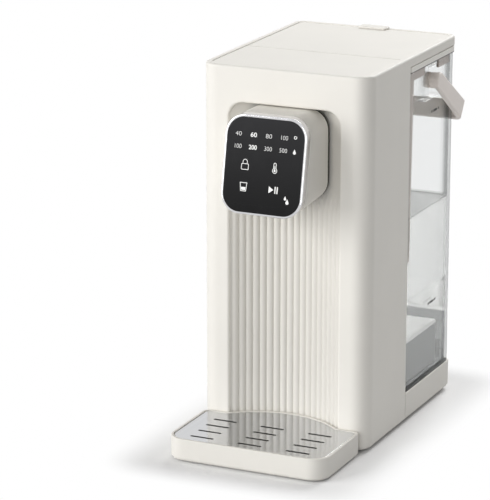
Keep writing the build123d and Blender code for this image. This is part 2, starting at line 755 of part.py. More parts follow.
def drip_grate():
    """Polished plate over the tray, with rows of short drain slots."""
    plan = offset(tray_outline(), -TRAY_WALL - GRATE_GAP)
    for column in range(SLOT_COLUMNS):
        for row in range(SLOT_ROWS):
            x = (column - (SLOT_COLUMNS - 1) / 2) * SLOT_COLUMN_PITCH
            y = SLOT_FROM_FRONT - TRAY_REACH + row * SLOT_ROW_PITCH
            plan -= Pos(x, y) * SlotOverall(SLOT_LENGTH, SLOT_WIDTH)
    plate = prism(plan, grate_top - GRATE_THICKNESS, grate_top)
    return fillet(top_edges(plate), GRATE_ROUND)


def foot_places():
    """Middles of the four feet."""
    x = half_width - FOOT_EDGE - FOOT_RADIUS
    front = FRONT_CORNER_RADIUS + SHELL_WALL
    return [(side * x, y) for side in SIDES for y in (front, BODY_DEPTH - FOOT_EDGE - FOOT_RADIUS)]


def base_screw_places():
    """Middles of the screws that hold the bottom cover."""
    rows = (SHELL_BOSS_FROM_FRONT, BODY_DEPTH - BASE_BOSS_FROM_BACK)
    return [(boss_x(side), y) for side in SIDES for y in rows]


def bottom_cover():
    """Plate that closes the body from below, cut away where the tray's tongue slides in."""
    cover = prism(body_plan(COVER_INSET), FOOT_HEIGHT, cover_top)
    cover = fillet(low_edges(cover), BASE_ROUND)
    cover -= niche_space(LINER_WALL)
    for x, y in foot_places():
        cover -= rod((x, y, 0), UP, FOOT_HEIGHT + FOOT_RECESS, FOOT_RADIUS + SCREW_GAP)
    for x, y in base_screw_places():
        cover -= screw_hole((x, y, 0), UP, BODY_HEIGHT)
        cover -= rod((x, y, 0), UP, FOOT_HEIGHT + SCREW_HEAD, SCREW_HEAD_RADIUS + SCREW_GAP)
    return cover


def rubber_feet():
    """Four soft feet in the bottom cover's recesses."""
    feet = [rod((x, y, 0), UP, FOOT_HEIGHT + FOOT_RECESS, FOOT_RADIUS) for x, y in foot_places()]
    return group([fillet(low_edges(foot), EDGE_ROUND) for foot in feet])


def base_screws():
    """Screws of the bottom cover."""
    return group([screw((x, y, FOOT_HEIGHT + SCREW_HEAD), UP) for x, y in base_screw_places()])


def base_chassis():
    """Rear base under the tank: ledge, skirt walls and two tabs that reach into the housing."""
    front = housing_back + BASE_SEAM
    chassis = between(prism(body_plan(0), cover_top, LEDGE_HEIGHT), front, BODY_DEPTH)
    chassis = fillet(top_edges(chassis), EDGE_ROUND)
    hollow = prism(body_plan(SHELL_WALL), 0, LEDGE_HEIGHT - LEDGE_THICKNESS)
    chassis -= hollow
    outer = half_width - SHELL_WALL - SHELL_INSIDE_GAP
    for side in SIDES:
        x = sorted((side * outer, side * (outer - BASE_TAB_THICKNESS)))
        y = (front - BASE_TAB_LENGTH, front + BASE_TAB_THICKNESS)
        chassis += block(x, y, (cover_top, LEDGE_HEIGHT - LEDGE_THICKNESS))
        z = (cover_top, LEDGE_HEIGHT - LEDGE_THICKNESS / 2)
        chassis += side_post(side, BODY_DEPTH - BASE_BOSS_FROM_BACK, z)
    for x, y in base_screw_places():
        chassis -= screw_hole((x, y, 0), UP, cover_top + SCREW_LENGTH)
    gland = (GLAND_X, BODY_DEPTH / 2, GLAND_HEIGHT)
    return chassis - rod(gland, BACK, BODY_DEPTH, GLAND_RADIUS + SCREW_GAP)


def cord_gland():
    """Bushing in the base's rear wall, where the mains lead enters."""
    inside = BODY_DEPTH - SHELL_WALL - GLAND_LENGTH
    gland = rod((GLAND_X, inside, GLAND_HEIGHT), BACK, BODY_DEPTH - inside, GLAND_RADIUS)
    flange = (GLAND_X, BODY_DEPTH, GLAND_HEIGHT)
    gland += rod(flange, BACK, GLAND_FLANGE_THICKNESS, GLAND_RADIUS + GLAND_FLANGE)
    return gland - rod((GLAND_X, inside, GLAND_HEIGHT), BACK, BODY_DEPTH, GLAND_BORE)


def rear_bulkhead():
    """Wall between the works and the tank, with the valve socket's hole and the board's posts."""
    half = half_width - SHELL_WALL - SHELL_INSIDE_GAP
    low = LEDGE_HEIGHT - LEDGE_THICKNESS + SHELL_INSIDE_GAP
    wall = block((-half, half), (bulkhead_front, housing_back), (low, band_bottom - SHELL_INSIDE_GAP))
    hole = VALVE_RADIUS + SOCKET_GAP + SOCKET_WALL + SCREW_GAP
    wall -= rod((VALVE_X, 0, VALVE_HEIGHT), BACK, BODY_DEPTH, hole)
    for side in SIDES:
        for z in bulkhead_screw_heights():
            wall -= screw_hole((boss_x(side), 0, z), BACK, BODY_DEPTH)
            head = (boss_x(side), housing_back - SCREW_HEAD - SCREW_GAP, z)
            wall -= rod(head, BACK, BODY_DEPTH, SCREW_HEAD_RADIUS + SCREW_GAP)
    for x, z in standoff_places():
        wall += rod((x, bulkhead_front, z), (0, -1, 0), STANDOFF, STANDOFF_RADIUS)
    return wall


def bulkhead_screws():
    """Screws that hold the bulkhead to the shell."""
    y = housing_back - SCREW_HEAD - SCREW_GAP
    places = [(boss_x(side), y, z) for side in SIDES for z in bulkhead_screw_heights()]
    return group([screw(place, (0, -1, 0)) for place in places])


def tank_plan(inset):
    """Outline of the tank seen from above, moved in by inset."""
    front = TANK_FRONT_RADIUS - inset
    rear = TANK_REAR_RADIUS - inset
    return rounded_plan(tank_half - inset, tank_front + inset, tank_back - inset, front, rear)


def pivot_pocket(side, grow):
    """Recess in a side wall that takes the handle's boss."""
    reach = POCKET_SIZE / 2 + grow
    x = sorted((side * (pocket_floor - grow), side * 2 * half_width))
    return block(x, (pivot_y - reach, pivot_y + reach), (pivot_z - reach, pivot_z + reach))


def water_tank():
    """Clear open-topped tank with a recess and a stub pin on each side for the handle."""
    tank = prism(tank_plan(0), tank_low, tank_top)
    tank = chamfer(top_edges(tank), TANK_GROOVE)
    inside = prism(tank_plan(TANK_WALL), tank_floor, 2 * BODY_HEIGHT)
    for side in SIDES:
        inside -= pivot_pocket(side, TANK_WALL)
    tank -= inside
    for side in SIDES:
        tank -= pivot_pocket(side, 0)
        pin = (side * (pocket_floor - TANK_WALL / 2), pivot_y, pivot_z)
        tank += rod(pin, (side, 0, 0), PIVOT_PIN_LENGTH + TANK_WALL / 2, PIVOT_PIN_RADIUS)
    hole = (VALVE_X, 0, VALVE_HEIGHT)
    return tank - rod(hole, BACK, tank_front + 2 * TANK_WALL, VALVE_RADIUS + SCREW_GAP)


def tank_collar():
    """Frame on the tank's rim: band, skirt inside the wall and two tapered front legs."""
    back = BODY_DEPTH - COLLAR_SIDE_INSET
    half = half_width - COLLAR_SIDE_INSET
    rear_radius = REAR_CORNER_RADIUS - COLLAR_SIDE_INSET
    plan = rounded_plan(half, tank_front, back, TANK_FRONT_RADIUS, rear_radius)
    collar = prism(plan, tank_top, collar_top)
    collar = fillet(top_edges(collar) + low_edges(collar), EDGE_ROUND)
    collar -= mouth_space()
    wall = TANK_WALL + SKIRT_GAP
    skirt = prism(tank_plan(wall), tank_top - SKIRT_DROP, tank_top)
    skirt -= prism(skirt_inside(wall + SKIRT_THICKNESS), 0, 2 * BODY_HEIGHT)
    for side in SIDES:
        skirt -= pivot_pocket(side, TANK_WALL + SKIRT_GAP)
    return collar + skirt + collar_legs(wall)


def mouth_space():
    """Fill opening through the collar."""
    half = half_width - COLLAR_BORDER
    front = tank_front + COLLAR_BORDER
    plan = rounded_plan(half, front, BODY_DEPTH - COLLAR_BORDER, TANK_REAR_RADIUS, TANK_REAR_RADIUS)
    return prism(plan, 0, 2 * BODY_HEIGHT)


def skirt_inside(inset):
    """Outline inside the collar's skirt."""
    corner = TANK_REAR_RADIUS - TANK_WALL - SKIRT_GAP
    return rounded_plan(tank_half - inset, tank_front + inset, tank_back - inset, corner / 2, corner / 2)


def collar_legs(wall):
    """Tapered legs that run down inside the tank's front corners."""
    top = tank_top - SKIRT_DROP / 2
    foot = tank_top - SKIRT_DROP - LEG_LENGTH
    front = tank_front + wall + LEG_CORNER_GAP
    corners = [(front, top), (front + LEG_TOP_WIDTH, top), (front + LEG_FOOT_WIDTH, foot), (front, foot)]
    side_view = make_face(Polyline(*corners, close=True))
    outer = tank_half - wall
    strip = extrude(Plane.YZ * side_view, outer, both=True)
    inner = outer - SKIRT_THICKNESS
    return strip - block((-inner, inner), (0, BODY_DEPTH), (0, BODY_HEIGHT))


def intake_front():
    """Distance of the intake cover's front wall from the front plane."""
    return tank_front + TANK_WALL + INTAKE_FRONT_GAP


def intake_cover():
    """White cover over the valve and the float on the tank's floor, with intake slots in its back."""
    half = tank_half - TANK_WALL - INTAKE_SIDE_GAP
    front = intake_front()
    back = front + INTAKE_DEPTH
    top = tank_floor + INTAKE_HEIGHT
    cover = block((-half, half), (front, back), (tank_floor, top))
    rounded = cover.edges().filter_by(Axis.Z) + cover.faces().sort_by(Axis.Z)[-1].edges()
    cover = fillet(rounded, INTAKE_ROUND)
    inner = half - INTAKE_WALL
    cover -= block((-inner, inner), (front + INTAKE_WALL, back - INTAKE_WALL), (0, top - INTAKE_WALL))
    for index in range(INTAKE_SLOTS):
        x = (index - (INTAKE_SLOTS - 1) / 2) * INTAKE_SLOT_PITCH
        reach = INTAKE_SLOT_WIDTH / 2
        slot_y = (back - 2 * INTAKE_WALL, back + INTAKE_WALL)
        cover -= block((x - reach, x + reach), slot_y, (0, tank_floor + INTAKE_SLOT_HEIGHT))
    clear = VALVE_RADIUS + VALVE_FLANGE + SCREW_GAP * 5
    slot_high = VALVE_HEIGHT + clear
    return cover - block((VALVE_X - clear, VALVE_X + clear), (0, front + 2 * INTAKE_WALL), (0, slot_high))


def carrying_handle():
    """Bail of one strap with a bored boss at each end, folded down behind the tank."""
    outer = strap_inside + STRAP_THICKNESS
    reach = grip_radius + STRAP_THICKNESS
    front = -STRAP_PIVOT_WIDTH
    bail = Pos(0, (reach + front) / 2) * Rectangle(2 * outer, reach - front)
    bail = fillet(bail.vertices().group_by(Axis.Y)[-1], STRAP_CORNER_RADIUS)
    hollow = Pos(0, (grip_radius + front) / 2) * Rectangle(2 * strap_inside, grip_radius - front)
    bail -= fillet(hollow.vertices().group_by(Axis.Y)[-1], STRAP_CORNER_RADIUS - STRAP_THICKNESS)
    straps = extrude(bail, STRAP_END_WIDTH, both=True) & strap_side_view(reach, outer)
    rounded = straps.edges().filter_by(lambda edge: abs(edge.center().Z) > STRAP_PIVOT_WIDTH / 4)
    straps = fillet(rounded, STRAP_ROUND)
    for side in SIDES:
        straps += handle_boss(side)
    for side in SIDES:
        bore = (side * (pocket_floor - 1), 0, 0)
        depth = PIVOT_PIN_LENGTH + BOSS_FLOOR_GAP + 1
        straps -= rod(bore, (side, 0, 0), depth, PIVOT_PIN_RADIUS + RUNNING_GAP)
    return handle_plane() * straps


def strap_side_view(reach, outer):
    """Tapered side view of the handle's straps, round at the pivot, along the whole width."""
    near = STRAP_PIVOT_WIDTH / 2
    far = STRAP_END_WIDTH / 2
    corners = [(0, near), (reach, far), (reach, -far), (0, -near)]
    outline = make_face(Polyline(*corners, close=True)) + Circle(near)
    side_plane = Plane(origin=(-2 * outer, 0, 0), x_dir=(0, 1, 0), z_dir=(1, 0, 0))
    return extrude(side_plane * outline, 4 * outer)


def handle_boss(side):
    """Grooved round boss between a strap and the tank's wall."""
    start = pocket_floor + BOSS_FLOOR_GAP
    length = strap_inside + STRAP_THICKNESS / 2 - start
    boss = rod((side * start, 0, 0), (side, 0, 0), length, BOSS_RADIUS)
    middle = side * (start + (strap_inside - start - BOSS_GROOVE_WIDTH) / 2)
    groove_floor = BOSS_RADIUS - BOSS_GROOVE_DEPTH
    return boss - pipe((middle, 0, 0), (side, 0, 0), BOSS_GROOVE_WIDTH, 2 * BOSS_RADIUS, groove_floor)


def handle_plane():
    """Plane of the folded handle: its grip leans on the tank's back wall."""
    low_corner = hypot(grip_radius, STRAP_END_WIDTH / 2)
    run = tank_back + HANDLE_REST_GAP - pivot_y
    droop = acos(run / low_corner) - atan2(STRAP_END_WIDTH / 2, grip_radius)
    return Plane(origin=(0, pivot_y, pivot_z), x_dir=RIGHT, z_dir=(0, sin(droop), cos(droop)))


def tank_valve():
    """Outlet tube through the tank's front wall, with a seat at its nose and a stem guide behind."""
    axis = (VALVE_X, nose_y, VALVE_HEIGHT)
    valve = rod(axis, BACK, valve_back - nose_y, VALVE_RADIUS)
    flange = (VALVE_X, tank_front + TANK_WALL + GASKET_THICKNESS, VALVE_HEIGHT)
    valve += rod(flange, BACK, VALVE_FLANGE_THICKNESS, VALVE_RADIUS + VALVE_FLANGE)
    chamber = (VALVE_X, nose_y + VALVE_LIP, VALVE_HEIGHT)
    valve -= rod(chamber, BACK, valve_back - nose_y - 2 * VALVE_LIP, VALVE_BORE)
    valve -= rod(axis, BACK, VALVE_LIP * 2, VALVE_SEAT)
    valve -= rod(axis, BACK, BODY_DEPTH, POPPET_STEM + RUNNING_GAP)
    inlet_y = valve_back - VALVE_LIP * 3
    for turn in range(3):
        way = (cos(radians(120 * turn + 90)), 0, sin(radians(120 * turn + 90)))
        valve -= rod((VALVE_X, inlet_y, VALVE_HEIGHT), way, 2 * VALVE_RADIUS, VALVE_LIP)
    return valve


def valve_gasket():
    """Flat ring between the valve's flange and the tank's wall."""
    start = (VALVE_X, tank_front + TANK_WALL, VALVE_HEIGHT)
    return pipe(start, BACK, GASKET_THICKNESS, VALVE_RADIUS + VALVE_FLANGE, VALVE_RADIUS + SCREW_GAP)


def poppet_front():
    """Distance of the poppet's sealing face from the front plane."""
    return nose_y + VALVE_LIP + SCREW_GAP


def valve_poppet():
    """Sprung stopper: head behind the seat, nose through it and stem in the guide."""
    seat = (VALVE_X, poppet_front(), VALVE_HEIGHT)
    poppet = rod(seat, BACK, POPPET_HEAD, VALVE_BORE - POPPET_CLEARANCE)
    poppet += rod(seat, (0, -1, 0), VALVE_LIP, POPPET_NOSE)
    return poppet + rod(seat, BACK, valve_back - poppet_front(), POPPET_STEM)


def valve_spring():
    """Coil spring between the poppet's head and the stem guide."""
    start = poppet_front() + POPPET_HEAD + SPRING_WIRE / 2 + SCREW_GAP
    end = valve_back - VALVE_LIP - SPRING_WIRE / 2 - SCREW_GAP
    pitch = (end - start) / SPRING_TURNS
    coil = Helix(pitch, end - start, SPRING_RADIUS)
    wire = sweep(Plane(origin=coil @ 0, z_dir=coil % 0) * Circle(SPRING_WIRE / 2), coil)
    return Plane(origin=(VALVE_X, start, VALVE_HEIGHT), x_dir=RIGHT, z_dir=BACK) * wire


def valve_socket():
    """Cup in the bulkhead that takes the valve's nose, with a hose spigot at its front."""
    bore = VALVE_RADIUS + SOCKET_GAP
    outer = bore + SOCKET_WALL
    start = (VALVE_X, socket_front, VALVE_HEIGHT)
    cup = rod(start, BACK, housing_back - socket_front, outer)
    flange = (VALVE_X, bulkhead_front - SOCKET_FLOOR, VALVE_HEIGHT)
    cup += rod(flange, BACK, SOCKET_FLOOR, outer + SOCKET_WALL)
    cup -= rod((VALVE_X, socket_front + SOCKET_FLOOR, VALVE_HEIGHT), BACK, BODY_DEPTH, bore)
    cup += rod(start, (0, -1, 0), SPIGOT_LENGTH, SPIGOT_RADIUS)
    spigot_end = (VALVE_X, socket_front - SPIGOT_LENGTH, VALVE_HEIGHT)
    return cup - rod(spigot_end, BACK, SPIGOT_LENGTH + 2 * SOCKET_FLOOR, SPIGOT_BORE)


def float_guide():
    """Post on the tank's floor that guides the float."""
    start = (FLOAT_X, float_y, tank_floor)
    post = rod(start, UP, FLOAT_POST_HEIGHT, FLOAT_POST_RADIUS)
    return post + rod(start, UP, FLOAT_REST - FLOAT_GAP, FLOAT_RADIUS / 2)


def level_float():
    """Ring float that rises with the water."""
    start = (FLOAT_X, float_y, tank_floor + FLOAT_REST)
    return pipe(start, UP, FLOAT_HEIGHT, FLOAT_RADIUS, FLOAT_POST_RADIUS + FLOAT_GAP)


def reed_switch():
    """Sensor under the ledge that feels the float's magnet."""
    wide, deep, tall = REED_SIZE
    top = LEDGE_HEIGHT - LEDGE_THICKNESS
    x = (FLOAT_X - wide / 2, FLOAT_X + wide / 2)
    return block(x, (float_y - deep / 2, float_y + deep / 2), (top - tall, top))


def pump_volute():
    """Pump housing with its outlet spigot on top, open towards the cover."""
    start = (VALVE_X, motor_back, VALVE_HEIGHT)
    volute = rod(start, BACK, VOLUTE_LENGTH, VOLUTE_RADIUS)
    top = (VALVE_X, outlet_y, VALVE_HEIGHT)
    volute += rod(top, UP, VOLUTE_RADIUS + 2 * SPIGOT_LENGTH, SPIGOT_RADIUS)
    hollow = (VALVE_X, motor_back + VOLUTE_WALL, VALVE_HEIGHT)
    volute -= rod(hollow, BACK, VOLUTE_LENGTH, VOLUTE_RADIUS - VOLUTE_WALL)
    volute -= rod(top, UP, 2 * VOLUTE_RADIUS, SPIGOT_BORE)
    return volute - rod(start, BACK, VOLUTE_LENGTH, SHAFT_RADIUS + RUNNING_GAP)


def pump_cover():
    """Front plate of the pump with its inlet spigot."""
    start = (VALVE_X, volute_back, VALVE_HEIGHT)
    cover = rod(start, BACK, PUMP_COVER, VOLUTE_RADIUS)
    cover += rod(start, BACK, PUMP_COVER + SPIGOT_LENGTH, SPIGOT_RADIUS)
    return cover - rod(start, BACK, PUMP_COVER + SPIGOT_LENGTH, SPIGOT_BORE)


def pump_motor():
    """Motor can behind the pump, with a bearing bore for the shaft."""
    start = (VALVE_X, motor_back - MOTOR_LENGTH, VALVE_HEIGHT)
    motor = rod(start, BACK, MOTOR_LENGTH, MOTOR_RADIUS)
    motor = fillet(motor.faces().sort_by(Axis.Y)[0].edges(), MOTOR_RADIUS / 8)
    bore = (VALVE_X, motor_back - SHAFT_IN_MOTOR - RUNNING_GAP, VALVE_HEIGHT)
    return motor - rod(bore, BACK, MOTOR_LENGTH, SHAFT_RADIUS + RUNNING_GAP)


def pump_impeller():
    """Bladed wheel and its shaft."""
    front = motor_back + VOLUTE_WALL + IMPELLER_GAP
    back = volute_back - IMPELLER_GAP
    radius = VOLUTE_RADIUS - VOLUTE_WALL - IMPELLER_GAP
    wheel = rod((VALVE_X, front, VALVE_HEIGHT), BACK, IMPELLER_DISC, radius)
    wheel += rod((VALVE_X, front, VALVE_HEIGHT), BACK, back - front, IMPELLER_HUB)
    blade = block((0, radius - IMPELLER_GAP), (front, back), (-BLADE_THICKNESS / 2, BLADE_THICKNESS / 2))
    for index in range(IMPELLER_BLADES):
        turned = Rot(0, 360 / IMPELLER_BLADES * index, 0) * blade
        wheel += Pos(VALVE_X, 0, VALVE_HEIGHT) * turned
    shaft = (VALVE_X, motor_back - SHAFT_IN_MOTOR, VALVE_HEIGHT)
    return wheel + rod(shaft, BACK, back - motor_back + SHAFT_IN_MOTOR, SHAFT_RADIUS)


def pump_cradle():
    """Saddle that carries the motor on the bottom cover."""
    x = (VALVE_X - CRADLE_WIDTH / 2, VALVE_X + CRADLE_WIDTH / 2)
    middle = motor_back - MOTOR_LENGTH / 2
    y = (middle - CRADLE_LENGTH / 2, middle + CRADLE_LENGTH / 2)
    cradle = block(x, y, (cover_top, VALVE_HEIGHT - MOTOR_RADIUS / 2))
    return cradle - rod((VALVE_X, 0, VALVE_HEIGHT), BACK, BODY_DEPTH, MOTOR_RADIUS + CRADLE_GAP)


def hose(path):
    """Soft hose along a path of straight runs and bends."""
    outer = SPIGOT_RADIUS + HOSE_FIT + HOSE_WALL
    ring = Circle(outer) - Circle(SPIGOT_RADIUS + HOSE_FIT)
    return sweep(Plane(origin=path @ 0, z_dir=path % 0) * ring, path)


def tank_hose():
    """Short hose from the valve socket to the pump's inlet."""
    start = inlet_front + SPIGOT_SPACE / 2
    end = socket_front - SPIGOT_SPACE / 2
    outer = SPIGOT_RADIUS + HOSE_FIT + HOSE_WALL
    return pipe((VALVE_X, start, VALVE_HEIGHT), BACK, end - start, outer, SPIGOT_RADIUS + HOSE_FIT)


def pump_hose():
    """Hose from the pump's outlet up and across to the heater's side port."""
    low = VALVE_HEIGHT + VOLUTE_RADIUS + SPIGOT_SPACE
    end = HEATER_X - HEATER_RADIUS - SPIGOT_SPACE
    points = [(VALVE_X, outlet_y, low), (VALVE_X, outlet_y, port_z), (end, outlet_y, port_z)]
    return hose(FilletPolyline(*points, radius=HOSE_BEND))


def hot_hose():
    """Hose from the heater's top through the neck to the spout."""
    low = heater_top + HEATER_CAP + SPIGOT_SPACE
    drop = spout_low() + SPOUT_LENGTH + SPIGOT_SPACE / 2
    points = [
        (HEATER_X, outlet_y, low),
        (HEATER_X, outlet_y, neck_middle),
        (0, outlet_y, neck_middle),
        (0, -SPOUT_REACH, neck_middle),
        (0, -SPOUT_REACH, drop),
    ]
    return hose(FilletPolyline(*points, radius=HOSE_BEND))


def heater_tube():
    """Stainless flow heater with its side inlet port."""
    start = (HEATER_X, outlet_y, HEATER_LOW)
    tube = rod(start, UP, heater_length, HEATER_RADIUS)
    port = (HEATER_X - HEATER_RADIUS + HEATER_WALL, outlet_y, port_z)
    length = HEATER_WALL + SPIGOT_SPACE + SPIGOT_LENGTH
    tube += rod(port, (-1, 0, 0), length, SPIGOT_RADIUS)
    tube -= rod(start, UP, heater_length, HEATER_RADIUS - HEATER_WALL)
    return tube - rod((HEATER_X, outlet_y, port_z), (-1, 0, 0), HEATER_RADIUS + length, SPIGOT_BORE)


def heater_caps():
    """End caps of the heater, the upper one with the outlet spigot and the probe's seat."""
    radius = HEATER_RADIUS + HEATER_CAP_LIP
    low = rod((HEATER_X, outlet_y, HEATER_LOW), (0, 0, -1), HEATER_CAP, radius)
    top = (HEATER_X, outlet_y, heater_top)
    upper = rod(top, UP, HEATER_CAP, radius)
    upper += rod(top, UP, HEATER_CAP + SPIGOT_SPACE + SPIGOT_LENGTH, SPIGOT_RADIUS)
    upper -= rod(top, UP, HEATER_CAP + 2 * SPIGOT_LENGTH, SPIGOT_BORE)
    probe = (HEATER_X, outlet_y, heater_top + HEATER_CAP / 2)
    return group([low, upper - rod(probe, (0, -1, 0), 2 * radius, PROBE_RADIUS + RUNNING_GAP)])


def temperature_probe():
    """Sensor plugged into the heater's upper cap."""
    start = (HEATER_X, outlet_y - SPIGOT_RADIUS, heater_top + HEATER_CAP / 2)
    length = HEATER_RADIUS + HEATER_CAP_LIP - SPIGOT_RADIUS + PROBE_LENGTH / 2
    probe = rod(start, (0, -1, 0), length, PROBE_RADIUS)
    collar = (HEATER_X, outlet_y - HEATER_RADIUS - HEATER_CAP_LIP, heater_top + HEATER_CAP / 2)
    return probe + rod(collar, (0, -1, 0), PROBE_RADIUS, PROBE_RADIUS * 1.5)


def heater_clips():
    """Two clips that hold the heater to the bulkhead."""
    clips = []
    ring = HEATER_RADIUS + CLIP_FIT
    for z in (HEATER_LOW + CLIP_MARGIN, heater_top - CLIP_MARGIN - CLIP_HEIGHT):
        start = (HEATER_X, outlet_y, z)
        arm_x = (HEATER_X - CLIP_HEIGHT / 2, HEATER_X + CLIP_HEIGHT / 2)
        clip = rod(start, UP, CLIP_HEIGHT, ring + CLIP_WALL)
        clip += block(arm_x, (outlet_y, bulkhead_front), (z, z + CLIP_HEIGHT))
        clips.append(clip - rod(start, UP, CLIP_HEIGHT, ring))
    return group(clips)


def thermal_cutouts():
    """Two overheat switches on the heater's front."""
    y = outlet_y - HEATER_RADIUS - RUNNING_GAP
    middle = (HEATER_LOW + heater_top) / 2
    places = [(HEATER_X, y, middle + side * CUTOUT_SPACING / 2) for side in SIDES]
    return group([rod(place, (0, -1, 0), CUTOUT_LENGTH, CUTOUT_RADIUS) for place in places])


def standoff_places():
    """Places of the posts that carry the power board."""
    x = BOARD_WIDTH / 2 - STANDOFF_EDGE
    z = BOARD_HEIGHT / 2 - STANDOFF_EDGE
    middle = BOARD_LOW + BOARD_HEIGHT / 2
    return [(BOARD_X + a * x, middle + b * z) for a in SIDES for b in SIDES]


def power_board():
    """Control and power circuit board."""
    back = bulkhead_front - STANDOFF
    x = (BOARD_X - BOARD_WIDTH / 2, BOARD_X + BOARD_WIDTH / 2)
    return block(x, (back - BOARD_THICKNESS, back), (BOARD_LOW, BOARD_LOW + BOARD_HEIGHT))


def on_board(size, across, up):
    """Box on the power board's front face, by its middle from the board's lower left corner."""
    wide, deep, tall = size
    face = bulkhead_front - STANDOFF - BOARD_THICKNESS
    x = BOARD_X - BOARD_WIDTH / 2 + across
    z = BOARD_LOW + up
    return block((x - wide / 2, x + wide / 2), (face - deep, face), (z - tall / 2, z + tall / 2))


def heater_relay():
    """Relay that switches the heater."""
    return on_board(RELAY_SIZE, BOARD_WIDTH / 4, BOARD_HEIGHT / 4)


def board_transformer():
    """Transformer of the low-voltage supply."""
    return on_board(TRANSFORMER_SIZE, BOARD_WIDTH * 0.7, BOARD_HEIGHT / 4)


def board_capacitors():
    """Two smoothing capacitors."""
    face = bulkhead_front - STANDOFF - BOARD_THICKNESS
    middle = BOARD_LOW + BOARD_HEIGHT / 2
    places = [(BOARD_X + side * BOARD_WIDTH / 4, face, middle) for side in SIDES]
    return group([rod(place, (0, -1, 0), CAPACITOR_LENGTH, CAPACITOR_RADIUS) for place in places])


def heat_sink():
    """Finned sink of the pump's driver."""
    wide, deep, tall = SINK_SIZE
    sink = on_board((wide, SINK_FIN, tall), BOARD_WIDTH / 2, BOARD_HEIGHT * 0.8)
    pitch = (wide - SINK_FIN) / (SINK_FINS - 1)
    for index in range(SINK_FINS):
        across = BOARD_WIDTH / 2 - wide / 2 + SINK_FIN / 2 + index * pitch
        sink += on_board((SINK_FIN, deep, tall), across, BOARD_HEIGHT * 0.8)
    return sink


NODES = [
    housing_shell,
    alcove_liner,
    deck_plate,
    top_lid,
    lid_hinge_pins,
    head_shell,
    head_seal,
    head_bezel,
    touch_panel,
    touch_board,
    head_neck,
    head_screws,
    spout,
    spout_tip,
    drip_tray,
    tray_pads,
    drip_grate,
    bottom_cover,
    rubber_feet,
    base_screws,
    base_chassis,
    cord_gland,
    rear_bulkhead,
    bulkhead_screws,
    water_tank,
    tank_collar,
    intake_cover,
    carrying_handle,
    tank_valve,
    valve_gasket,
    valve_poppet,
    valve_spring,
    valve_socket,
    float_guide,
    level_float,
    reed_switch,
    pump_volute,
    pump_cover,
    pump_motor,
    pump_impeller,
    pump_cradle,
    tank_hose,
    pump_hose,
    hot_hose,
    heater_tube,
    heater_caps,
    heater_clips,
    thermal_cutouts,
    temperature_probe,
    power_board,
    heater_relay,
    board_transformer,
    board_capacitors,
    heat_sink,
]


def main():
    """Build every piece, centre the footprint on the origin and write one file for each."""
    os.makedirs("parts", exist_ok=True)
    pieces = {make.__name__: make() for make in NODES}
    boxes = [piece.bounding_box() for piece in pieces.values()]
    front = min(box.min.Y for box in boxes)
    back = max(box.max.Y for box in boxes)
    to_origin = Pos(0, -(front + back) / 2, 0)
    for name, piece in pieces.items():
        export_step(to_origin * piece, f"parts/{name}.step")
    print(f"body front plane at y = {-(front + back) / 2:.4f} mm")


if __name__ == "__main__":
    main()
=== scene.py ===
"""Looks of a countertop hot water dispenser: finishes, panel print, tank water and studio."""

import json
import math

import bmesh
import bpy
from bpy.props import FloatProperty, FloatVectorProperty, IntProperty, PointerProperty
from bpy.types import Operator, Panel, PropertyGroup
from mathutils import Matrix, Vector


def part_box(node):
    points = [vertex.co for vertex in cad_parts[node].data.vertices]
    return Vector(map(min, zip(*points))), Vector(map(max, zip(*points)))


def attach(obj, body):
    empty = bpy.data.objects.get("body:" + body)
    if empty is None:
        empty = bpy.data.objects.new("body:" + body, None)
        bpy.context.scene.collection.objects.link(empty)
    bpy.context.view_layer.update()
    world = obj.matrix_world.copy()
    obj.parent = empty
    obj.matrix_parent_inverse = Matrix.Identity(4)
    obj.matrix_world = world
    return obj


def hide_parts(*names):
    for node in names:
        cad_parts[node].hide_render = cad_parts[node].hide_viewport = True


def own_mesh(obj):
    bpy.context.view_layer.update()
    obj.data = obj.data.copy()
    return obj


bl_info = {
    "name": "Hot water dispenser looks",
    "version": (1, 0, 0),
    "blender": (4, 5, 0),
    "location": "3D View > Sidebar > Dispenser",
    "description": "Finishes, panel print, tank water and studio of a countertop hot water dispenser",
    "category": "Object",
}

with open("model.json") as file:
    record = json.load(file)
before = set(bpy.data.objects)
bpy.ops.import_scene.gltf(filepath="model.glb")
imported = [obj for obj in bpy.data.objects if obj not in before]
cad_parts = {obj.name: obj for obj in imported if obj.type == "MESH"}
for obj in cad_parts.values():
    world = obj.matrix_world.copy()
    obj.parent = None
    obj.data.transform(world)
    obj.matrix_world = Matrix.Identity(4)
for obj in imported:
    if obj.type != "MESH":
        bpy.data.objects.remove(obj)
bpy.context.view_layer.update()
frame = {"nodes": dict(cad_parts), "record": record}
MM = 0.001
PLASTIC_IOR = 1.53
WHITE = (1.0, 1.0, 1.0, 1.0)
EVEN = (1.0, 1.0, 1.0)

# Nearly all values of a noise pattern lie in this range.
NOISE_RANGE = {"From Min": 0.3, "From Max": 0.7}

# How far the grain of a moulding swings its roughness to each side of the middle.
GRAIN_SWING = 0.05

# Kind of input that a geometry tree has for each kind of value.
SOCKETS = {
    float: "NodeSocketFloat",
    int: "NodeSocketInt",
    bpy.types.Material: "NodeSocketMaterial",
}


def linear(hex_colour):
    """Turn an sRGB hex colour into the linear values that shaders take."""
    levels = [int(hex_colour[i : i + 2], 16) / 255 for i in (1, 3, 5)]
    return tuple(v / 12.92 if v <= 0.04045 else ((v + 0.055) / 1.055) ** 2.4 for v in levels)


def colour_prop(name, description, hex_colour):
    """Colour setting with an sRGB default."""
    return FloatVectorProperty(
        name=name, description=description, subtype="COLOR", min=0.0, max=1.0, default=linear(hex_colour)
    )


def length_prop(name, description, millimetres):
    """Length setting with a default in millimetres."""
    return FloatProperty(
        name=name, description=description, default=millimetres * MM, unit="LENGTH", precision=5
    )


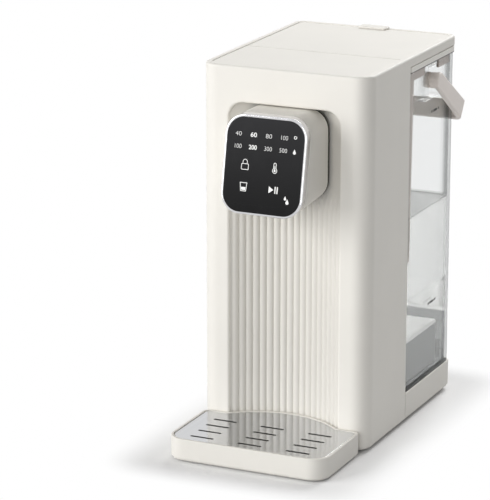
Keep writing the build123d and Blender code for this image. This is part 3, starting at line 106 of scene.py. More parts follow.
def place_prop(name, description, millimetres):
    """Place setting with a default in millimetres."""
    default = [value * MM for value in millimetres]
    return FloatVectorProperty(
        name=name, description=description, default=default, subtype="TRANSLATION", unit="LENGTH"
    )


def angle_prop(name, description, degrees):
    """Angle setting with a default in degrees."""
    return FloatProperty(name=name, description=description, default=math.radians(degrees), subtype="ANGLE")


def number_prop(name, description, value, least=0.0):
    """Plain number setting."""
    return FloatProperty(name=name, description=description, default=value, min=least)


class FinishSettings(PropertyGroup):
    """Colours of the dispenser's finishes and where some of them meet."""

    body: colour_prop("Body", "Cream of the moulded body", "#EFECE5")
    # Painted shade: the alcove's cream is darker than the body's so that it stands for the shadow inside the
    # alcove.
    alcove: colour_prop("Alcove", "Cream of the alcove's wall, a shade darker than the body", "#E1DED7")
    inner: colour_prop("Inner parts", "White of the moulded inner parts", "#EDEDEA")
    handle: colour_prop("Handle", "Beige of the carrying handle", "#F6EDE6")
    # Painted shade: the skirt's beige is darker than the body's cream so that it stands for the shade under
    # the collar's band. The seam's dark is a painted shadow of the gap between the frame and the tank.
    skirt: colour_prop("Skirt", "Beige of the tank frame's skirt and legs", "#B0A59E")
    seam: colour_prop("Seam", "Dark of the seam between the frame and the tank", "#3B3734")
    seam_width: length_prop("Seam width", "Width of that seam", 1.0)
    # Painted light and shade: the intake cover's sides are painted grey as shade, and its cap is painted a
    # brighter white as if lit from above.
    cover: colour_prop("Cover", "Grey of the intake cover's sides", "#A4A6A6")
    lit_cover_top: colour_prop("Cover top", "White of the intake cover's cap", "#FCFCFB")
    lit_cap_height: length_prop("Cover cap", "Height of the intake cover's white cap", 3.0)
    trim: colour_prop("Trim", "Silver of the panel's frame", "#D4D4D6")
    plate: colour_prop("Grate", "Grey of the polished drip plate", "#CBCCCE")
    panel: colour_prop("Panel", "Black of the touch panel's foot", "#0D0D0E")
    # The panel's black is lighter at its top and blends by height to the foot's black.
    panel_top: colour_prop("Panel top", "Smoky black of the touch panel's top", "#2C2C2E")
    ink: colour_prop("Ink", "White of the panel's print", "#E4E4E2")
    tank: colour_prop("Tank", "Tint of the clear tank", "#E0E2E2")
    # Painted shade: this tint of the tank's edges near its sides stands for the dark that a clear wall shows
    # where the eye looks along it.
    edge: colour_prop("Tank edge", "Tint of the tank's thick corners", "#3F4242")
    water: colour_prop("Water", "Tint of the water", "#FAFAF8")
    # Painted shade: the water's up-facing surface gets a darker tint than the rest of the water.
    surface: colour_prop("Water surface", "Tint of the water seen from above", "#D3D5D4")
    mark: colour_prop("Level marks", "Near-black of the level marks", "#161717")


class PrintSettings(PropertyGroup):
    """Print on the touch panel, in the panel's own plane."""

    tilt: angle_prop("Tilt", "Lean of the panel away from upright", 11.0)
    digit_height: length_prop("Digit size", "Type size of the numbers", 4.9)
    wide: number_prop("Wide", "Stretch of the numbers of two digits", 1.14)
    slim: number_prop("Slim", "Stretch of the numbers of three digits", 0.94)
    column_pitch: length_prop("Column pitch", "Distance between the numbers", 12.9)
    first_column: length_prop("First column", "Place of the first number left of the middle", -23.4)
    row_end_gap: length_prop("Row end", "How far the sign at a row's end moves in from the next column", 3.4)
    upper_row: length_prop("Upper row", "Height of the temperature row above the middle", 23.4)
    lower_row: length_prop("Lower row", "Height of the volume row above the middle", 13.6)
    degree_radius: length_prop("Degree ring", "Radius of the degree ring", 1.3)
    degree_rise: length_prop("Degree rise", "Height of the degree ring above its row", 1.2)
    key_column: length_prop("Key column", "Distance of the touch symbols from their middle line", 12.7)
    key_offset: length_prop("Key offset", "Place of that line left of the panel's middle", -3.2)
    upper_key: length_prop("Upper keys", "Height of the upper symbols", -0.3)
    lower_key: length_prop("Lower keys", "Height of the lower symbols", -17.5)
    stroke: length_prop("Stroke", "Line width of the symbols", 0.5)
    thin: length_prop("Thin", "Outline taken off the other numbers", -0.08)
    bold: length_prop("Bold", "Extra outline of the chosen numbers", 0.09)
    ink_height: length_prop("Ink height", "Thickness of the print", 0.06)


class TankSettings(PropertyGroup):
    """Clear wall, water, level marks and valve spring of the tank."""

    side_inset: length_prop("Side inset", "Tank wall behind the body's side", 0.8)
    wall: length_prop("Wall", "Thickness of the tank's wall", 2.4)
    floor: length_prop("Floor", "Thickness of the tank's floor", 3.0)
    front_radius: length_prop("Front radius", "Inner radius of the front corners", 1.6)
    rear_radius: length_prop("Rear radius", "Inner radius of the rear corners", 5.6)
    # These settings place the painted shade on the tank's edges: how far it reaches, how deep it is, and how
    # much less clear the wall is there.
    corner: length_prop("Corner", "Reach of the thick plastic in the tank's rear corners", 9.5)
    corner_core: length_prop("Corner core", "Part of that reach in which the tint is even", 8.0)
    corner_shade: number_prop("Corner tint", "Depth of that tint", 0.75)
    edge: length_prop("Edge", "Reach of the thick plastic at the tank's front and foot", 2.0)
    wall_opacity: number_prop("Wall opacity", "Opacity of the thin wall", 0.35)
    edge_shade_opacity: number_prop("Edge opacity", "Opacity of the thick plastic", 0.95)
    wetting: length_prop("Wetting", "How far the water reaches into the wall, so that no air film shows", 0.2)
    water_level: length_prop("Water level", "Height of the water above the counter", 171.5)
    meniscus: length_prop("Meniscus", "Rise of the water at the wall", 1.2)
    mark_count: IntProperty(name="Marks", description="Number of level marks", default=2, min=2)
    mark_from_back: length_prop("Mark place", "Distance of the level marks from the tank's back", 45.0)
    mark_low: length_prop("Lower mark", "Height of the lower level mark", 89.5)
    mark_high: length_prop("Upper mark", "Height of the upper level mark", 253.5)
    mark_length: length_prop("Mark length", "Length of a level mark", 7.5)
    mark_width: length_prop("Mark width", "Width of a level mark", 1.9)
    mark_height: length_prop("Mark height", "How far a mark stands out of the wall", 0.15)
    dot_spread: length_prop("Dot spread", "Distance between the dots at a mark's ends", 15.0)
    dot_length: length_prop("Dot length", "Length of a dot", 1.8)
    spring_wire: length_prop("Spring wire", "Thickness of the valve spring's wire", 0.7)
    spring_turns: number_prop("Spring turns", "Turns of the valve spring", 4.0, least=1.0)


class StudioSettings(PropertyGroup):
    """Camera, lamps and floor."""

    azimuth: angle_prop("Azimuth", "Camera's turn about the upright axis, from the front", 24.8)
    elevation: angle_prop("Elevation", "Camera's height angle", 15.8)
    distance: length_prop("Distance", "Camera to its aim point", 2309.52)
    aim_right: length_prop("Aim right", "Aim point to the right of the body's middle", -70.59)
    aim_up: length_prop("Aim up", "Aim point above the body's middle", -15.63)
    lens: number_prop("Lens", "Focal length in millimetres", 201.6, least=1.0)
    sensor: number_prop("Sensor", "Picture height in millimetres", 36.0, least=1.0)
    lamp_aim: length_prop("Lamp aim", "Height that the lamps point at", 160.0)
    key_power: number_prop("Key power", "Power of the key lamp in watts", 67.0)
    key_size: length_prop("Key size", "Side of the key lamp", 2000.0)
    key_place: place_prop("Key place", "Place of the key lamp", (-2200.0, -2200.0, 1100.0))
    front_power: number_prop("Front power", "Power of the front lamp in watts", 19.0)
    front_size: length_prop("Front size", "Side of the front lamp", 1200.0)
    front_place: place_prop("Front place", "Place of the front lamp", (350.0, -2700.0, 900.0))
    top_power: number_prop("Top power", "Power of the top lamp in watts", 48.0)
    top_size: length_prop("Top size", "Side of the top lamp", 1400.0)
    top_place: place_prop("Top place", "Place of the top lamp", (200.0, 2100.0, 1800.0))
    rear_power: number_prop("Rear power", "Power of the rear lamp in watts", 3.0)
    rear_size: length_prop("Rear size", "Side of the rear lamp", 1000.0)
    rear_place: place_prop("Rear place", "Place of the rear lamp", (1300.0, 1700.0, 1300.0))
    sky: number_prop("Sky", "Strength of the even light", 0.23)
    floor_size: length_prop("Floor", "Side of the floor", 12000.0)
    floor_clear: length_prop("Clear floor", "Reach of full shadow round the object", 5.0)
    floor_fade: length_prop("Floor fade", "Distance at which the floor is plain white", 48.0)
    floor_tone: number_prop("Floor tone", "Grey of the floor as it is seen", 0.99)
    floor_bounce: number_prop("Floor bounce", "Grey of the floor for the light that it throws back", 0.62)


def add(tree, kind, inputs=None, **settings):
    """Add a node to a tree, set its properties and fill or link its inputs."""
    item = tree.nodes.new(kind)
    for name, value in settings.items():
        setattr(item, name, value)
    for key, value in (inputs or {}).items():
        if isinstance(value, bpy.types.NodeSocket):
            tree.links.new(value, item.inputs[key])
        else:
            item.inputs[key].default_value = value
    return item


def per_metre(millimetres):
    """Texture scale at which one feature is this long."""
    return 1.0 / (millimetres * MM)


def empty_tree(owner):
    """Cleared node tree of a material or a world."""
    owner.use_nodes = True
    owner.node_tree.nodes.clear()
    return owner.node_tree


def new_material(name, constants):
    """Material with its output and a shader whose inputs hold these constants."""
    material = bpy.data.materials.new(name)
    tree = empty_tree(material)
    shader = add(tree, "ShaderNodeBsdfPrincipled", constants)
    add(tree, "ShaderNodeOutputMaterial", {"Surface": shader.outputs["BSDF"]})
    return material, tree, shader


def link(tree, shader, name, socket):
    """Feed one of the shader's inputs from a pattern."""
    tree.links.new(socket, shader.inputs[name])


def grain(tree, millimetres, detail=2.0, stretch=EVEN):
    """Even grain of a real size, on the piece's own coordinates."""
    place = add(tree, "ShaderNodeTexCoord").outputs["Object"]
    place = add(tree, "ShaderNodeMapping", {"Vector": place, "Scale": stretch}).outputs["Vector"]
    settings = {"Vector": place, "Scale": per_metre(millimetres), "Detail": detail}
    return add(tree, "ShaderNodeTexNoise", settings).outputs["Fac"]


def shades(tree, pattern, colour, darker):
    """Colour that drifts a little with a pattern."""
    low = (*[channel * darker for channel in colour], 1.0)
    factor = add(tree, "ShaderNodeMapRange", {"Value": pattern, **NOISE_RANGE}).outputs["Result"]
    tones = {0: factor, 6: low, 7: (*colour, 1.0)}
    return add(tree, "ShaderNodeMix", tones, data_type="RGBA").outputs[2]


def roughen(tree, shader, pattern, roughness=None, height_mm=0.0, strength=1.0):
    """Let a pattern vary the gloss between two values and raise the surface by a real height."""
    if roughness:
        gloss = {"Value": pattern, **NOISE_RANGE, "To Min": roughness[0], "To Max": roughness[1]}
        link(tree, shader, "Roughness", add(tree, "ShaderNodeMapRange", gloss).outputs["Result"])
    if height_mm:
        bump = {"Height": pattern, "Distance": height_mm * MM, "Strength": strength}
        link(tree, shader, "Normal", add(tree, "ShaderNodeBump", bump).outputs["Normal"])


def moulded(name, colour, roughness, grain_mm, height_mm, darker=0.97, constants=None):
    """Injection-moulded plastic: a fine spark-eroded grain breaks the gloss, and the shade drifts softly."""
    material, tree, shader = new_material(name, {"IOR": PLASTIC_IOR, **(constants or {})})
    drift = grain(tree, millimetres=60.0, detail=3.0)
    link(tree, shader, "Base Color", shades(tree, drift, colour, darker))
    gloss = (roughness - GRAIN_SWING, roughness + GRAIN_SWING)
    roughen(tree, shader, grain(tree, grain_mm), gloss, height_mm, strength=0.35)
    return material


def body_abs(finish):
    """Satin cream ABS: the grain of 0.6 mm is coarser than the real one so that it shows."""
    return moulded("satin_cream_abs", finish.body, roughness=0.52, grain_mm=0.6, height_mm=0.012)


def alcove_abs_painted_shade(finish):
    """Satin cream ABS of the alcove's wall, moulded by itself: its darker cream is painted shade for the
    shadow inside the alcove.
    """
    return moulded("satin_alcove_abs", finish.alcove, roughness=0.52, grain_mm=0.6, height_mm=0.012)


def inner_pp(finish):
    """White moulded polypropylene of the pieces inside: waxy and even."""
    return moulded("white_polypropylene", finish.inner, roughness=0.5, grain_mm=0.8, height_mm=0.01)


def handle_pp(finish):
    """Satin beige polypropylene: glossier than the body, because hands rub it."""
    skin = {"roughness": 0.36, "grain_mm": 0.7, "height_mm": 0.012, "darker": 0.94}
    return moulded("satin_beige_polypropylene", finish.handle, **skin)


def black_pbt():
    """Black glass-filled polyester of electrical parts: dull, with an uneven shade."""
    skin = {"roughness": 0.55, "grain_mm": 0.9, "height_mm": 0.02, "darker": 0.7}
    return moulded("black_filled_pbt", linear("#1B1B1C"), **skin)


def soft_rubber():
    """Black moulded rubber: matt, with a patchy bloom."""
    skin = {"roughness": 0.8, "grain_mm": 1.1, "height_mm": 0.03, "darker": 0.75}
    return moulded("black_moulded_rubber", linear("#242423"), **skin)


def silicone():
    """Milky extruded silicone: light soaks in and leaves a soft gloss."""
    soaking = {"Subsurface Weight": 0.25, "Subsurface Radius": (0.003, 0.0028, 0.0024)}
    skin = {"roughness": 0.34, "grain_mm": 1.2, "height_mm": 0.01, "constants": soaking}
    return moulded("milky_silicone", linear("#E4E2DA"), **skin)


def mark_ink(finish):
    """Near-black pad-print ink of the level marks: thin and matt."""
    return moulded("black_pad_print_ink", finish.mark, roughness=0.6, grain_mm=0.5, height_mm=0.004)


def split_by_height(name, split, lower, upper, seam, seam_width):
    """Plastic split by height, with a dark line between. Below the height is painted shade; above it is the
    collar's own cream and the cover's painted lit cap; the line is a painted shadow.
    """
    material, tree, shader = new_material(name, {"IOR": PLASTIC_IOR})
    place = add(tree, "ShaderNodeTexCoord").outputs["Object"]
    height = add(tree, "ShaderNodeSeparateXYZ", {"Vector": place}).outputs["Z"]
    # Painted shade below the split height, with the other colour above it.
    above = add(tree, "ShaderNodeMath", {0: height, 1: split}, operation="GREATER_THAN").outputs[0]
    tones = {0: above, 6: (*lower, 1.0), 7: (*upper, 1.0)}
    split_tones = add(tree, "ShaderNodeMix", tones, data_type="RGBA").outputs[2]
    # Painted shadow: a dark line along the split height.
    within = {0: height, 1: split + seam_width / 2, 2: seam_width / 2}
    within = add(tree, "ShaderNodeMath", within, operation="COMPARE").outputs[0]
    tones = {0: within, 6: split_tones, 7: (*seam, 1.0)}
    link(tree, shader, "Base Color", add(tree, "ShaderNodeMix", tones, data_type="RGBA").outputs[2])
    fine = grain(tree, millimetres=0.6)
    roughen(tree, shader, fine, roughness=(0.35, 0.45), height_mm=0.012, strength=0.35)
    return material


def clear_copolyester(finish, tank):
    """Clear moulded copolyester: a thin wall that hardly bends light, with flow waves.

    In its rounded rear corners and at its front and foot, near its sides, the wall is painted a darker grey
    and made less clear: painted shade for the dark edges where the eye looks along the wall.
    """
    constants = {"Transmission Weight": 1.0, "IOR": 1.03, "Coat Weight": 0.6, "Coat Roughness": 0.02}
    material, tree, shader = new_material("clear_copolyester", constants)
    place = add(tree, "ShaderNodeTexCoord").outputs["Object"]
    place = add(tree, "ShaderNodeSeparateXYZ", {"Vector": place}).outputs
    across = add(tree, "ShaderNodeMath", {0: place["X"]}, operation="ABSOLUTE").outputs[0]
    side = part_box("housing_shell")[1][0] - tank.side_inset
    limits = {"Value": across, "From Min": side - tank.corner, "From Max": side - tank.corner_core}
    near_side = add(tree, "ShaderNodeMapRange", limits).outputs["Result"]
    low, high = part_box("water_tank")
    edges = (
        (place["Y"], high[1] - tank.corner, high[1] - tank.corner_core, tank.corner_shade),
        (place["Y"], low[1] + tank.edge, low[1], 1.0),
        (place["Z"], low[2] + tank.edge, low[2], 1.0),
    )
    near_edge = 0.0
    for value, start, end, depth in edges:
        limits = {"Value": value, "From Min": start, "From Max": end, "To Max": depth}
        nearness = add(tree, "ShaderNodeMapRange", limits).outputs["Result"]
        near_edge = add(tree, "ShaderNodeMath", {0: near_edge, 1: nearness}, operation="MAXIMUM").outputs[0]
    # Painted shade: near the sides, the rear corners, front and foot are tinted darker and made less clear.
    shaded = add(tree, "ShaderNodeMath", {0: near_side, 1: near_edge}, operation="MULTIPLY").outputs[0]
    tints = {0: shaded, 6: (*finish.tank, 1.0), 7: (*finish.edge, 1.0)}
    link(tree, shader, "Base Color", add(tree, "ShaderNodeMix", tints, data_type="RGBA").outputs[2])
    opacity = {"Value": shaded, "To Min": tank.wall_opacity, "To Max": tank.edge_shade_opacity}
    link(tree, shader, "Alpha", add(tree, "ShaderNodeMapRange", opacity).outputs["Result"])
    waves = grain(tree, millimetres=45.0, detail=1.0, stretch=(1.0, 1.0, 0.35))
    roughen(tree, shader, waves, height_mm=0.03, strength=0.12)
    roughen(tree, shader, grain(tree, millimetres=30.0), roughness=(0.0, 0.012))
    return material


def still_water(name, colour, ripple_mm):
    """Still water: clear, bent light, and a surface that is almost flat.

    Its IOR is a little above the 1.33 of plain water, so that the tank's rear face mirrors the cover at the
    camera's angle as the real one does.
    """
    constants = {"Base Color": (*colour, 1.0), "Roughness": 0.0, "Transmission Weight": 1.0, "IOR": 1.365}
    material, tree, shader = new_material(name, constants)
    ripple = grain(tree, millimetres=35.0, detail=1.0)
    roughen(tree, shader, ripple, height_mm=ripple_mm, strength=0.1)
    return material


def panel_acrylic(finish):
    """Back-printed black acrylic: lighter towards its top, deep black below, under a hard, faintly smeared
    gloss.
    """
    constants = {"IOR": 1.49, "Specular IOR Level": 0.2}
    material, tree, shader = new_material("black_printed_acrylic", constants)
    smear = grain(tree, millimetres=14.0, detail=4.0, stretch=(1.0, 1.0, 0.5))
    low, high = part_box("touch_panel")
    place = add(tree, "ShaderNodeTexCoord").outputs["Object"]
    height = add(tree, "ShaderNodeSeparateXYZ", {"Vector": place}).outputs["Z"]
    # The black lightens with height towards the panel's top.
    limits = {"Value": height, "From Min": low[2], "From Max": high[2]}
    rise = add(tree, "ShaderNodeMapRange", limits).outputs["Result"]
    tones = {0: rise, 6: shades(tree, smear, finish.panel, darker=0.8), 7: (*finish.panel_top, 1.0)}
    link(tree, shader, "Base Color", add(tree, "ShaderNodeMix", tones, data_type="RGBA").outputs[2])
    roughen(tree, shader, smear, roughness=(0.06, 0.13))
    return material


def glowing_panel_ink(finish):
    """White screen ink: even, with a slight painted glow of its own in place of a light behind it."""
    # Painted glow: the ink gives off a little light though no lamp lights it.
    constants = {"Roughness": 0.5, "Emission Color": (*finish.ink, 1.0), "Emission Strength": 0.3}
    material, tree, shader = new_material("white_screen_ink", constants)
    mottle = grain(tree, millimetres=0.4)
    link(tree, shader, "Base Color", shades(tree, mottle, finish.ink, darker=0.96))
    return material


def metal(name, colour, darker, roughness, lines_mm, detail=3.0, stretch=EVEN, height_mm=0.0):
    """Metal whose shade and gloss follow the fine marks that its making left."""
    material, tree, shader = new_material(name, {"Metallic": 1.0})
    lines = grain(tree, lines_mm, detail, stretch)
    link(tree, shader, "Base Color", shades(tree, lines, colour, darker))
    roughen(tree, shader, lines, roughness, height_mm, strength=0.3)
    return material


def silver_trim(finish):
    """Vacuum-metallised plastic trim: mirror-bright silver, hardly clouded by its lacquer."""
    lines = {"darker": 0.94, "roughness": (0.05, 0.1), "lines_mm": 0.5, "detail": 2.0}
    return metal("metallised_silver_trim", finish.trim, **lines)


def polished_steel(finish):
    """Polished stainless sheet: mirror bright, with hair-fine polishing lines from front to back."""
    lines = {"darker": 0.95, "roughness": (0.07, 0.15), "lines_mm": 1.2, "detail": 4.0}
    lines |= {"stretch": (1.0, 0.02, 1.0), "height_mm": 0.002}
    return metal("polished_stainless_steel", finish.plate, **lines)


def plain_steel():
    """Drawn steel of tubes, pins, screws and the spring: greyish, with fine draw lines."""
    lines = {"darker": 0.85, "roughness": (0.24, 0.4), "lines_mm": 1.5, "stretch": (1.0, 1.0, 0.05)}
    return metal("drawn_steel", linear("#B9B9B6"), **lines)


def bare_aluminium():
    """Extruded aluminium: pale and streaked along the extrusion."""
    lines = {"darker": 0.88, "roughness": (0.32, 0.48), "lines_mm": 1.0, "stretch": (1.0, 1.0, 0.04)}
    return metal("extruded_aluminium", linear("#C8CACB"), **lines)


def circuit_laminate():
    """Green solder mask over copper tracks: the tracks show as paler lanes 1.6 mm apart."""
    material, tree, shader = new_material("green_solder_mask", {"Roughness": 0.3})
    place = add(tree, "ShaderNodeTexCoord").outputs["Object"]
    bricks = {"Vector": place, "Scale": per_metre(6.4), "Mortar Size": 0.06, "Brick Width": 1.0}
    for name, colour in (("Color1", "#14502F"), ("Color2", "#184F33"), ("Mortar", "#2F7A4C")):
        bricks[name] = (*linear(colour), 1.0)
    tracks = add(tree, "ShaderNodeTexBrick", bricks).outputs
    link(tree, shader, "Base Color", tracks["Color"])
    roughen(tree, shader, tracks["Fac"], height_mm=0.035, strength=0.5)
    return material


def linked(name, data):
    """New object in the scene for a mesh, curve, lamp or camera."""
    item = bpy.data.objects.new(name, data)
    bpy.context.collection.objects.link(item)
    return item


def mesh_piece(name, mesh, material, body):
    """Object at the origin that rides on a body."""
    mesh.materials.clear()
    mesh.materials.append(material)
    piece = linked(name, mesh)
    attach(piece, body)
    return piece


def plain_mesh(source):
    """Plain mesh of an object's evaluated shape; the source and its modifiers are removed."""
    graph = bpy.context.evaluated_depsgraph_get()
    mesh = bpy.data.meshes.new_from_object(source.evaluated_get(graph))
    source.modifiers.clear()
    data = source.data
    bpy.data.objects.remove(source)
    store = bpy.data.meshes if isinstance(data, bpy.types.Mesh) else bpy.data.curves
    store.remove(data)
    return mesh


def join_meshes(name, meshes):
    """One mesh from several, with their doubles merged and their faces turned outwards."""
    work = bmesh.new()
    for mesh in meshes:
        work.from_mesh(mesh)
        bpy.data.meshes.remove(mesh)
    bmesh.ops.remove_doubles(work, verts=work.verts, dist=0.001 * MM)
    bmesh.ops.recalc_face_normals(work, faces=work.faces)
    joined = bpy.data.meshes.new(name)
    work.to_mesh(joined)
    work.free()
    return joined


def arc(centre, radius, start, end, steps):
    """Points along an arc, with angles in degrees."""
    angles = [math.radians(start + (end - start) * i / steps) for i in range(steps + 1)]
    return [(centre[0] + radius * math.cos(a), centre[1] + radius * math.sin(a)) for a in angles]


def ring(centre, radius):
    """Closed circle."""
    return arc(centre, radius, 0, 360, steps=32)[:-1]


def rounded_box(centre, width, height, radius):
    """Closed rounded rectangle."""
    x, y = centre
    a, b = width / 2 - radius, height / 2 - radius
    corners = ((x + a, y + b, 0), (x - a, y + b, 90), (x - a, y - b, 180), (x + a, y - b, 270))
    return [point for cx, cy, turn in corners for point in arc((cx, cy), radius, turn, turn + 90, steps=6)]


def drop_loop(centre, radius, height):
    """Closed water drop with its tip up."""
    lean = math.degrees(math.acos(radius / height))
    points = arc(centre, radius, 90 + lean, 450 - lean, steps=24)
    return points + [(centre[0], centre[1] + height)]


def padlock(centre, stroke):
    """Outline of a closed padlock."""
    x, y = centre
    body = (x, y - 1.4 * MM)
    wide, tall, corner = 6.4 * MM, 5.0 * MM, 1.0 * MM
    loops = [rounded_box(body, wide, tall, corner)]
    loops.append(rounded_box(body, wide - 2 * stroke, tall - 2 * stroke, corner - stroke))
    shackle = 2.1 * MM
    foot, shoulder = y + 1.3 * MM, y + 2.4 * MM
    outer = arc((x, shoulder), shackle, 0, 180, steps=16)
    inner = arc((x, shoulder), shackle - stroke, 180, 0, steps=16)
    ends = [(x - shackle, foot), (x - shackle + stroke, foot)]
    loops.append(outer + ends + inner + [(x + shackle - stroke, foot), (x + shackle, foot)])
    return loops


def thermometer(centre, stroke):
    """Outline of a bulb thermometer with its column."""
    x, y = centre
    bulb, top, column_top = (x, y - 2.3 * MM), (x, y + 2.7 * MM), (x, y + 1.2 * MM)
    half_stem, bulb_radius = 1.25 * MM, 2.1 * MM
    loops = []
    for inset in (0.0, stroke):
        stem, radius = half_stem - inset, bulb_radius - inset
        lean = math.degrees(math.asin(stem / radius))
        outline = arc(bulb, radius, 90 + lean, 450 - lean, steps=24)
        loops.append(outline + arc(top, stem, 0, 180, steps=12))
    half_column, fill_radius, lean = 0.3 * MM, 0.9 * MM, 20
    fill = arc(bulb, fill_radius, 90 + lean, 450 - lean, steps=20)
    loops.append(fill + arc(column_top, half_column, 0, 180, steps=8))
    return loops


def cup(centre, stroke):
    """Outline of a cup, filled to its middle."""
    x, y = centre
    half_brim, half_foot, half_height = 3.1 * MM, 2.4 * MM, 3.5 * MM
    fill_brim, fill_foot = 1.9 * MM, 1.6 * MM
    level, fill_low = y - 0.2 * MM, y - 2.5 * MM
    loops = []
    for inset in (0.0, stroke):
        top, foot = half_brim - inset, half_foot - inset
        high, low = y + half_height - inset, y - half_height + inset
        loops.append([(x - top, high), (x - foot, low), (x + foot, low), (x + top, high)])
    left = [(x - fill_brim, level), (x - fill_foot, fill_low)]
    loops.append(left + [(x + fill_foot, fill_low), (x + fill_brim, level)])
    return loops


def start_stop(centre):
    """Start triangle beside two stop bars."""
    x, y = centre
    high, low = y + 2.7 * MM, y - 2.7 * MM
    back, tip = x - 3.8 * MM, x + 0.2 * MM
    bar_width = 0.9 * MM
    loops = [[(back, high), (back, low), (tip, y)]]
    for left in (x + 1.2 * MM, x + 3.0 * MM):
        right = left + bar_width
        loops.append([(left, high), (left, low), (right, low), (right, high)])
    return loops


def ink_mesh(name, loops, thickness):
    """Thin solid mesh of closed flat outlines; an outline inside another is a hole."""
    curve = bpy.data.curves.new(name, "CURVE")
    curve.dimensions = "2D"
    curve.fill_mode = "BOTH"
    curve.extrude = thickness / 2
    for loop in loops:
        spline = curve.splines.new("POLY")
        spline.points.add(len(loop) - 1)
        for point, (x, y) in zip(spline.points, loop):
            point.co = (x, y, 0.0, 1.0)
        spline.use_cyclic_u = True
    return plain_mesh(linked(name, curve))


def number_mesh(digits, size, offset, thickness):
    """Thin solid mesh of a number, centred on its middle."""
    curve = bpy.data.curves.new(digits, "FONT")
    curve.body = digits
    curve.size = size
    curve.offset = offset
    curve.extrude = thickness / 2
    curve.align_x = "CENTER"
    curve.align_y = "CENTER"
    return plain_mesh(linked(digits, curve))


def panel_plane(tilt):
    """Place of the touch panel's front: its middle, with x to the right and y up the panel."""
    low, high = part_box("touch_panel")
    up = Vector((0.0, math.sin(tilt), math.cos(tilt)))
    out = Vector((0.0, -math.cos(tilt), math.sin(tilt)))
    length = (high[2] - low[2]) / math.cos(tilt)
    middle = Vector((0.0, low[1], low[2])) + up * length / 2
    turn = Matrix((Vector((1.0, 0.0, 0.0)), up, out)).transposed()
    return Matrix.Translation(middle) @ turn.to_4x4()


def rounded_outline(half, front, back, front_radius, rear_radius):
    """Closed plan outline with its own radius on the front and on the rear corners."""
    f, r = front_radius, rear_radius
    corners = (
        (half - r, back - r, r, 0),
        (r - half, back - r, r, 90),
        (f - half, front + f, f, 180),
        (half - f, front + f, f, 270),
    )
    return [point for x, y, size, turn in corners for point in arc((x, y), size, turn, turn + 90, steps=8)]


def lofted(name, rings):
    """Closed mesh through rings of points, capped at both ends."""
    work = bmesh.new()
    levels = [[work.verts.new(point) for point in points] for points in rings]
    count = len(levels[0])
    for lower, upper in zip(levels, levels[1:]):
        for i in range(count):
            j = (i + 1) % count
            work.faces.new((lower[i], lower[j], upper[j], upper[i]))
    work.faces.new(list(reversed(levels[0])))
    work.faces.new(levels[-1])
    bmesh.ops.recalc_face_normals(work, faces=work.faces)
    mesh = bpy.data.meshes.new(name)
    work.to_mesh(mesh)
    work.free()
    return mesh


def mark_geometry(tree, sizes):
    """A flat bar between two dots at each of a column of heights."""
    step = add(tree, "ShaderNodeCombineXYZ", {"Z": sizes["Rise"]}).outputs["Vector"]
    column = add(tree, "GeometryNodeMeshLine", {"Count": sizes["Marks"], "Offset": step}).outputs["Mesh"]
    half = add(tree, "ShaderNodeMath", {0: sizes["Dot spread"], 1: 0.5}, operation="MULTIPLY").outputs[0]
    back = add(tree, "ShaderNodeMath", {0: half, 1: -1.0}, operation="MULTIPLY").outputs[0]
    joined = add(tree, "GeometryNodeJoinGeometry")
    for shift, length in ((0.0, "Length"), (half, "Dot length"), (back, "Dot length")):
        size = {"X": sizes["Thickness"], "Y": sizes[length], "Z": sizes["Width"]}
        size = add(tree, "ShaderNodeCombineXYZ", size).outputs["Vector"]
        bar = add(tree, "GeometryNodeMeshCube", {"Size": size}).outputs["Mesh"]
        bars = {"Points": column, "Instance": bar}
        bars = add(tree, "GeometryNodeInstanceOnPoints", bars).outputs["Instances"]
        way = add(tree, "ShaderNodeCombineXYZ", {"Y": shift}).outputs["Vector"]
        row = {"Geometry": bars, "Translation": way}
        row = add(tree, "GeometryNodeTransform", row).outputs["Geometry"]
        tree.links.new(row, joined.inputs["Geometry"])
    return joined.outputs["Geometry"]


def spring_geometry(tree, sizes):
    """Round wire wound on a helix about the upright axis."""
    radius = sizes["Radius"]
    helix = {"Resolution": 24, "Rotations": sizes["Turns"], "Height": sizes["Rise"]}
    helix |= {"Start Radius": radius, "End Radius": radius}
    helix = add(tree, "GeometryNodeCurveSpiral", helix).outputs["Curve"]
    section = {"Resolution": 12, "Radius": sizes["Wire radius"]}
    section = add(tree, "GeometryNodeCurvePrimitiveCircle", section).outputs["Curve"]
    wire = {"Curve": helix, "Profile Curve": section, "Fill Caps": True}
    wire = add(tree, "GeometryNodeCurveToMesh", wire).outputs["Mesh"]
    return add(tree, "GeometryNodeSetShadeSmooth", {"Geometry": wire}).outputs["Geometry"]


def tree_mesh(name, build, values):
    """Plain mesh of a geometry tree that has these values, one of them its finish, as named inputs."""
    tree = bpy.data.node_groups.new(name, "GeometryNodeTree")
    tree.interface.new_socket("Geometry", in_out="OUTPUT", socket_type="NodeSocketGeometry")
    inputs = {}
    for label, value in values.items():
        socket = tree.interface.new_socket(label, in_out="INPUT", socket_type=SOCKETS[type(value)])
        inputs[socket.identifier] = value
    entry = add(tree, "NodeGroupInput").outputs
    real = add(tree, "GeometryNodeRealizeInstances", {"Geometry": build(tree, entry)}).outputs["Geometry"]
    done = add(tree, "GeometryNodeSetMaterial", {"Geometry": real, "Material": entry["Finish"]})
    add(tree, "NodeGroupOutput", {"Geometry": done.outputs["Geometry"]})
    source = linked(name, bpy.data.meshes.new(name))
    modifier = source.modifiers.new(name, "NODES")
    modifier.node_group = tree
    for identifier, value in inputs.items():
        modifier[identifier] = value
    return plain_mesh(source)


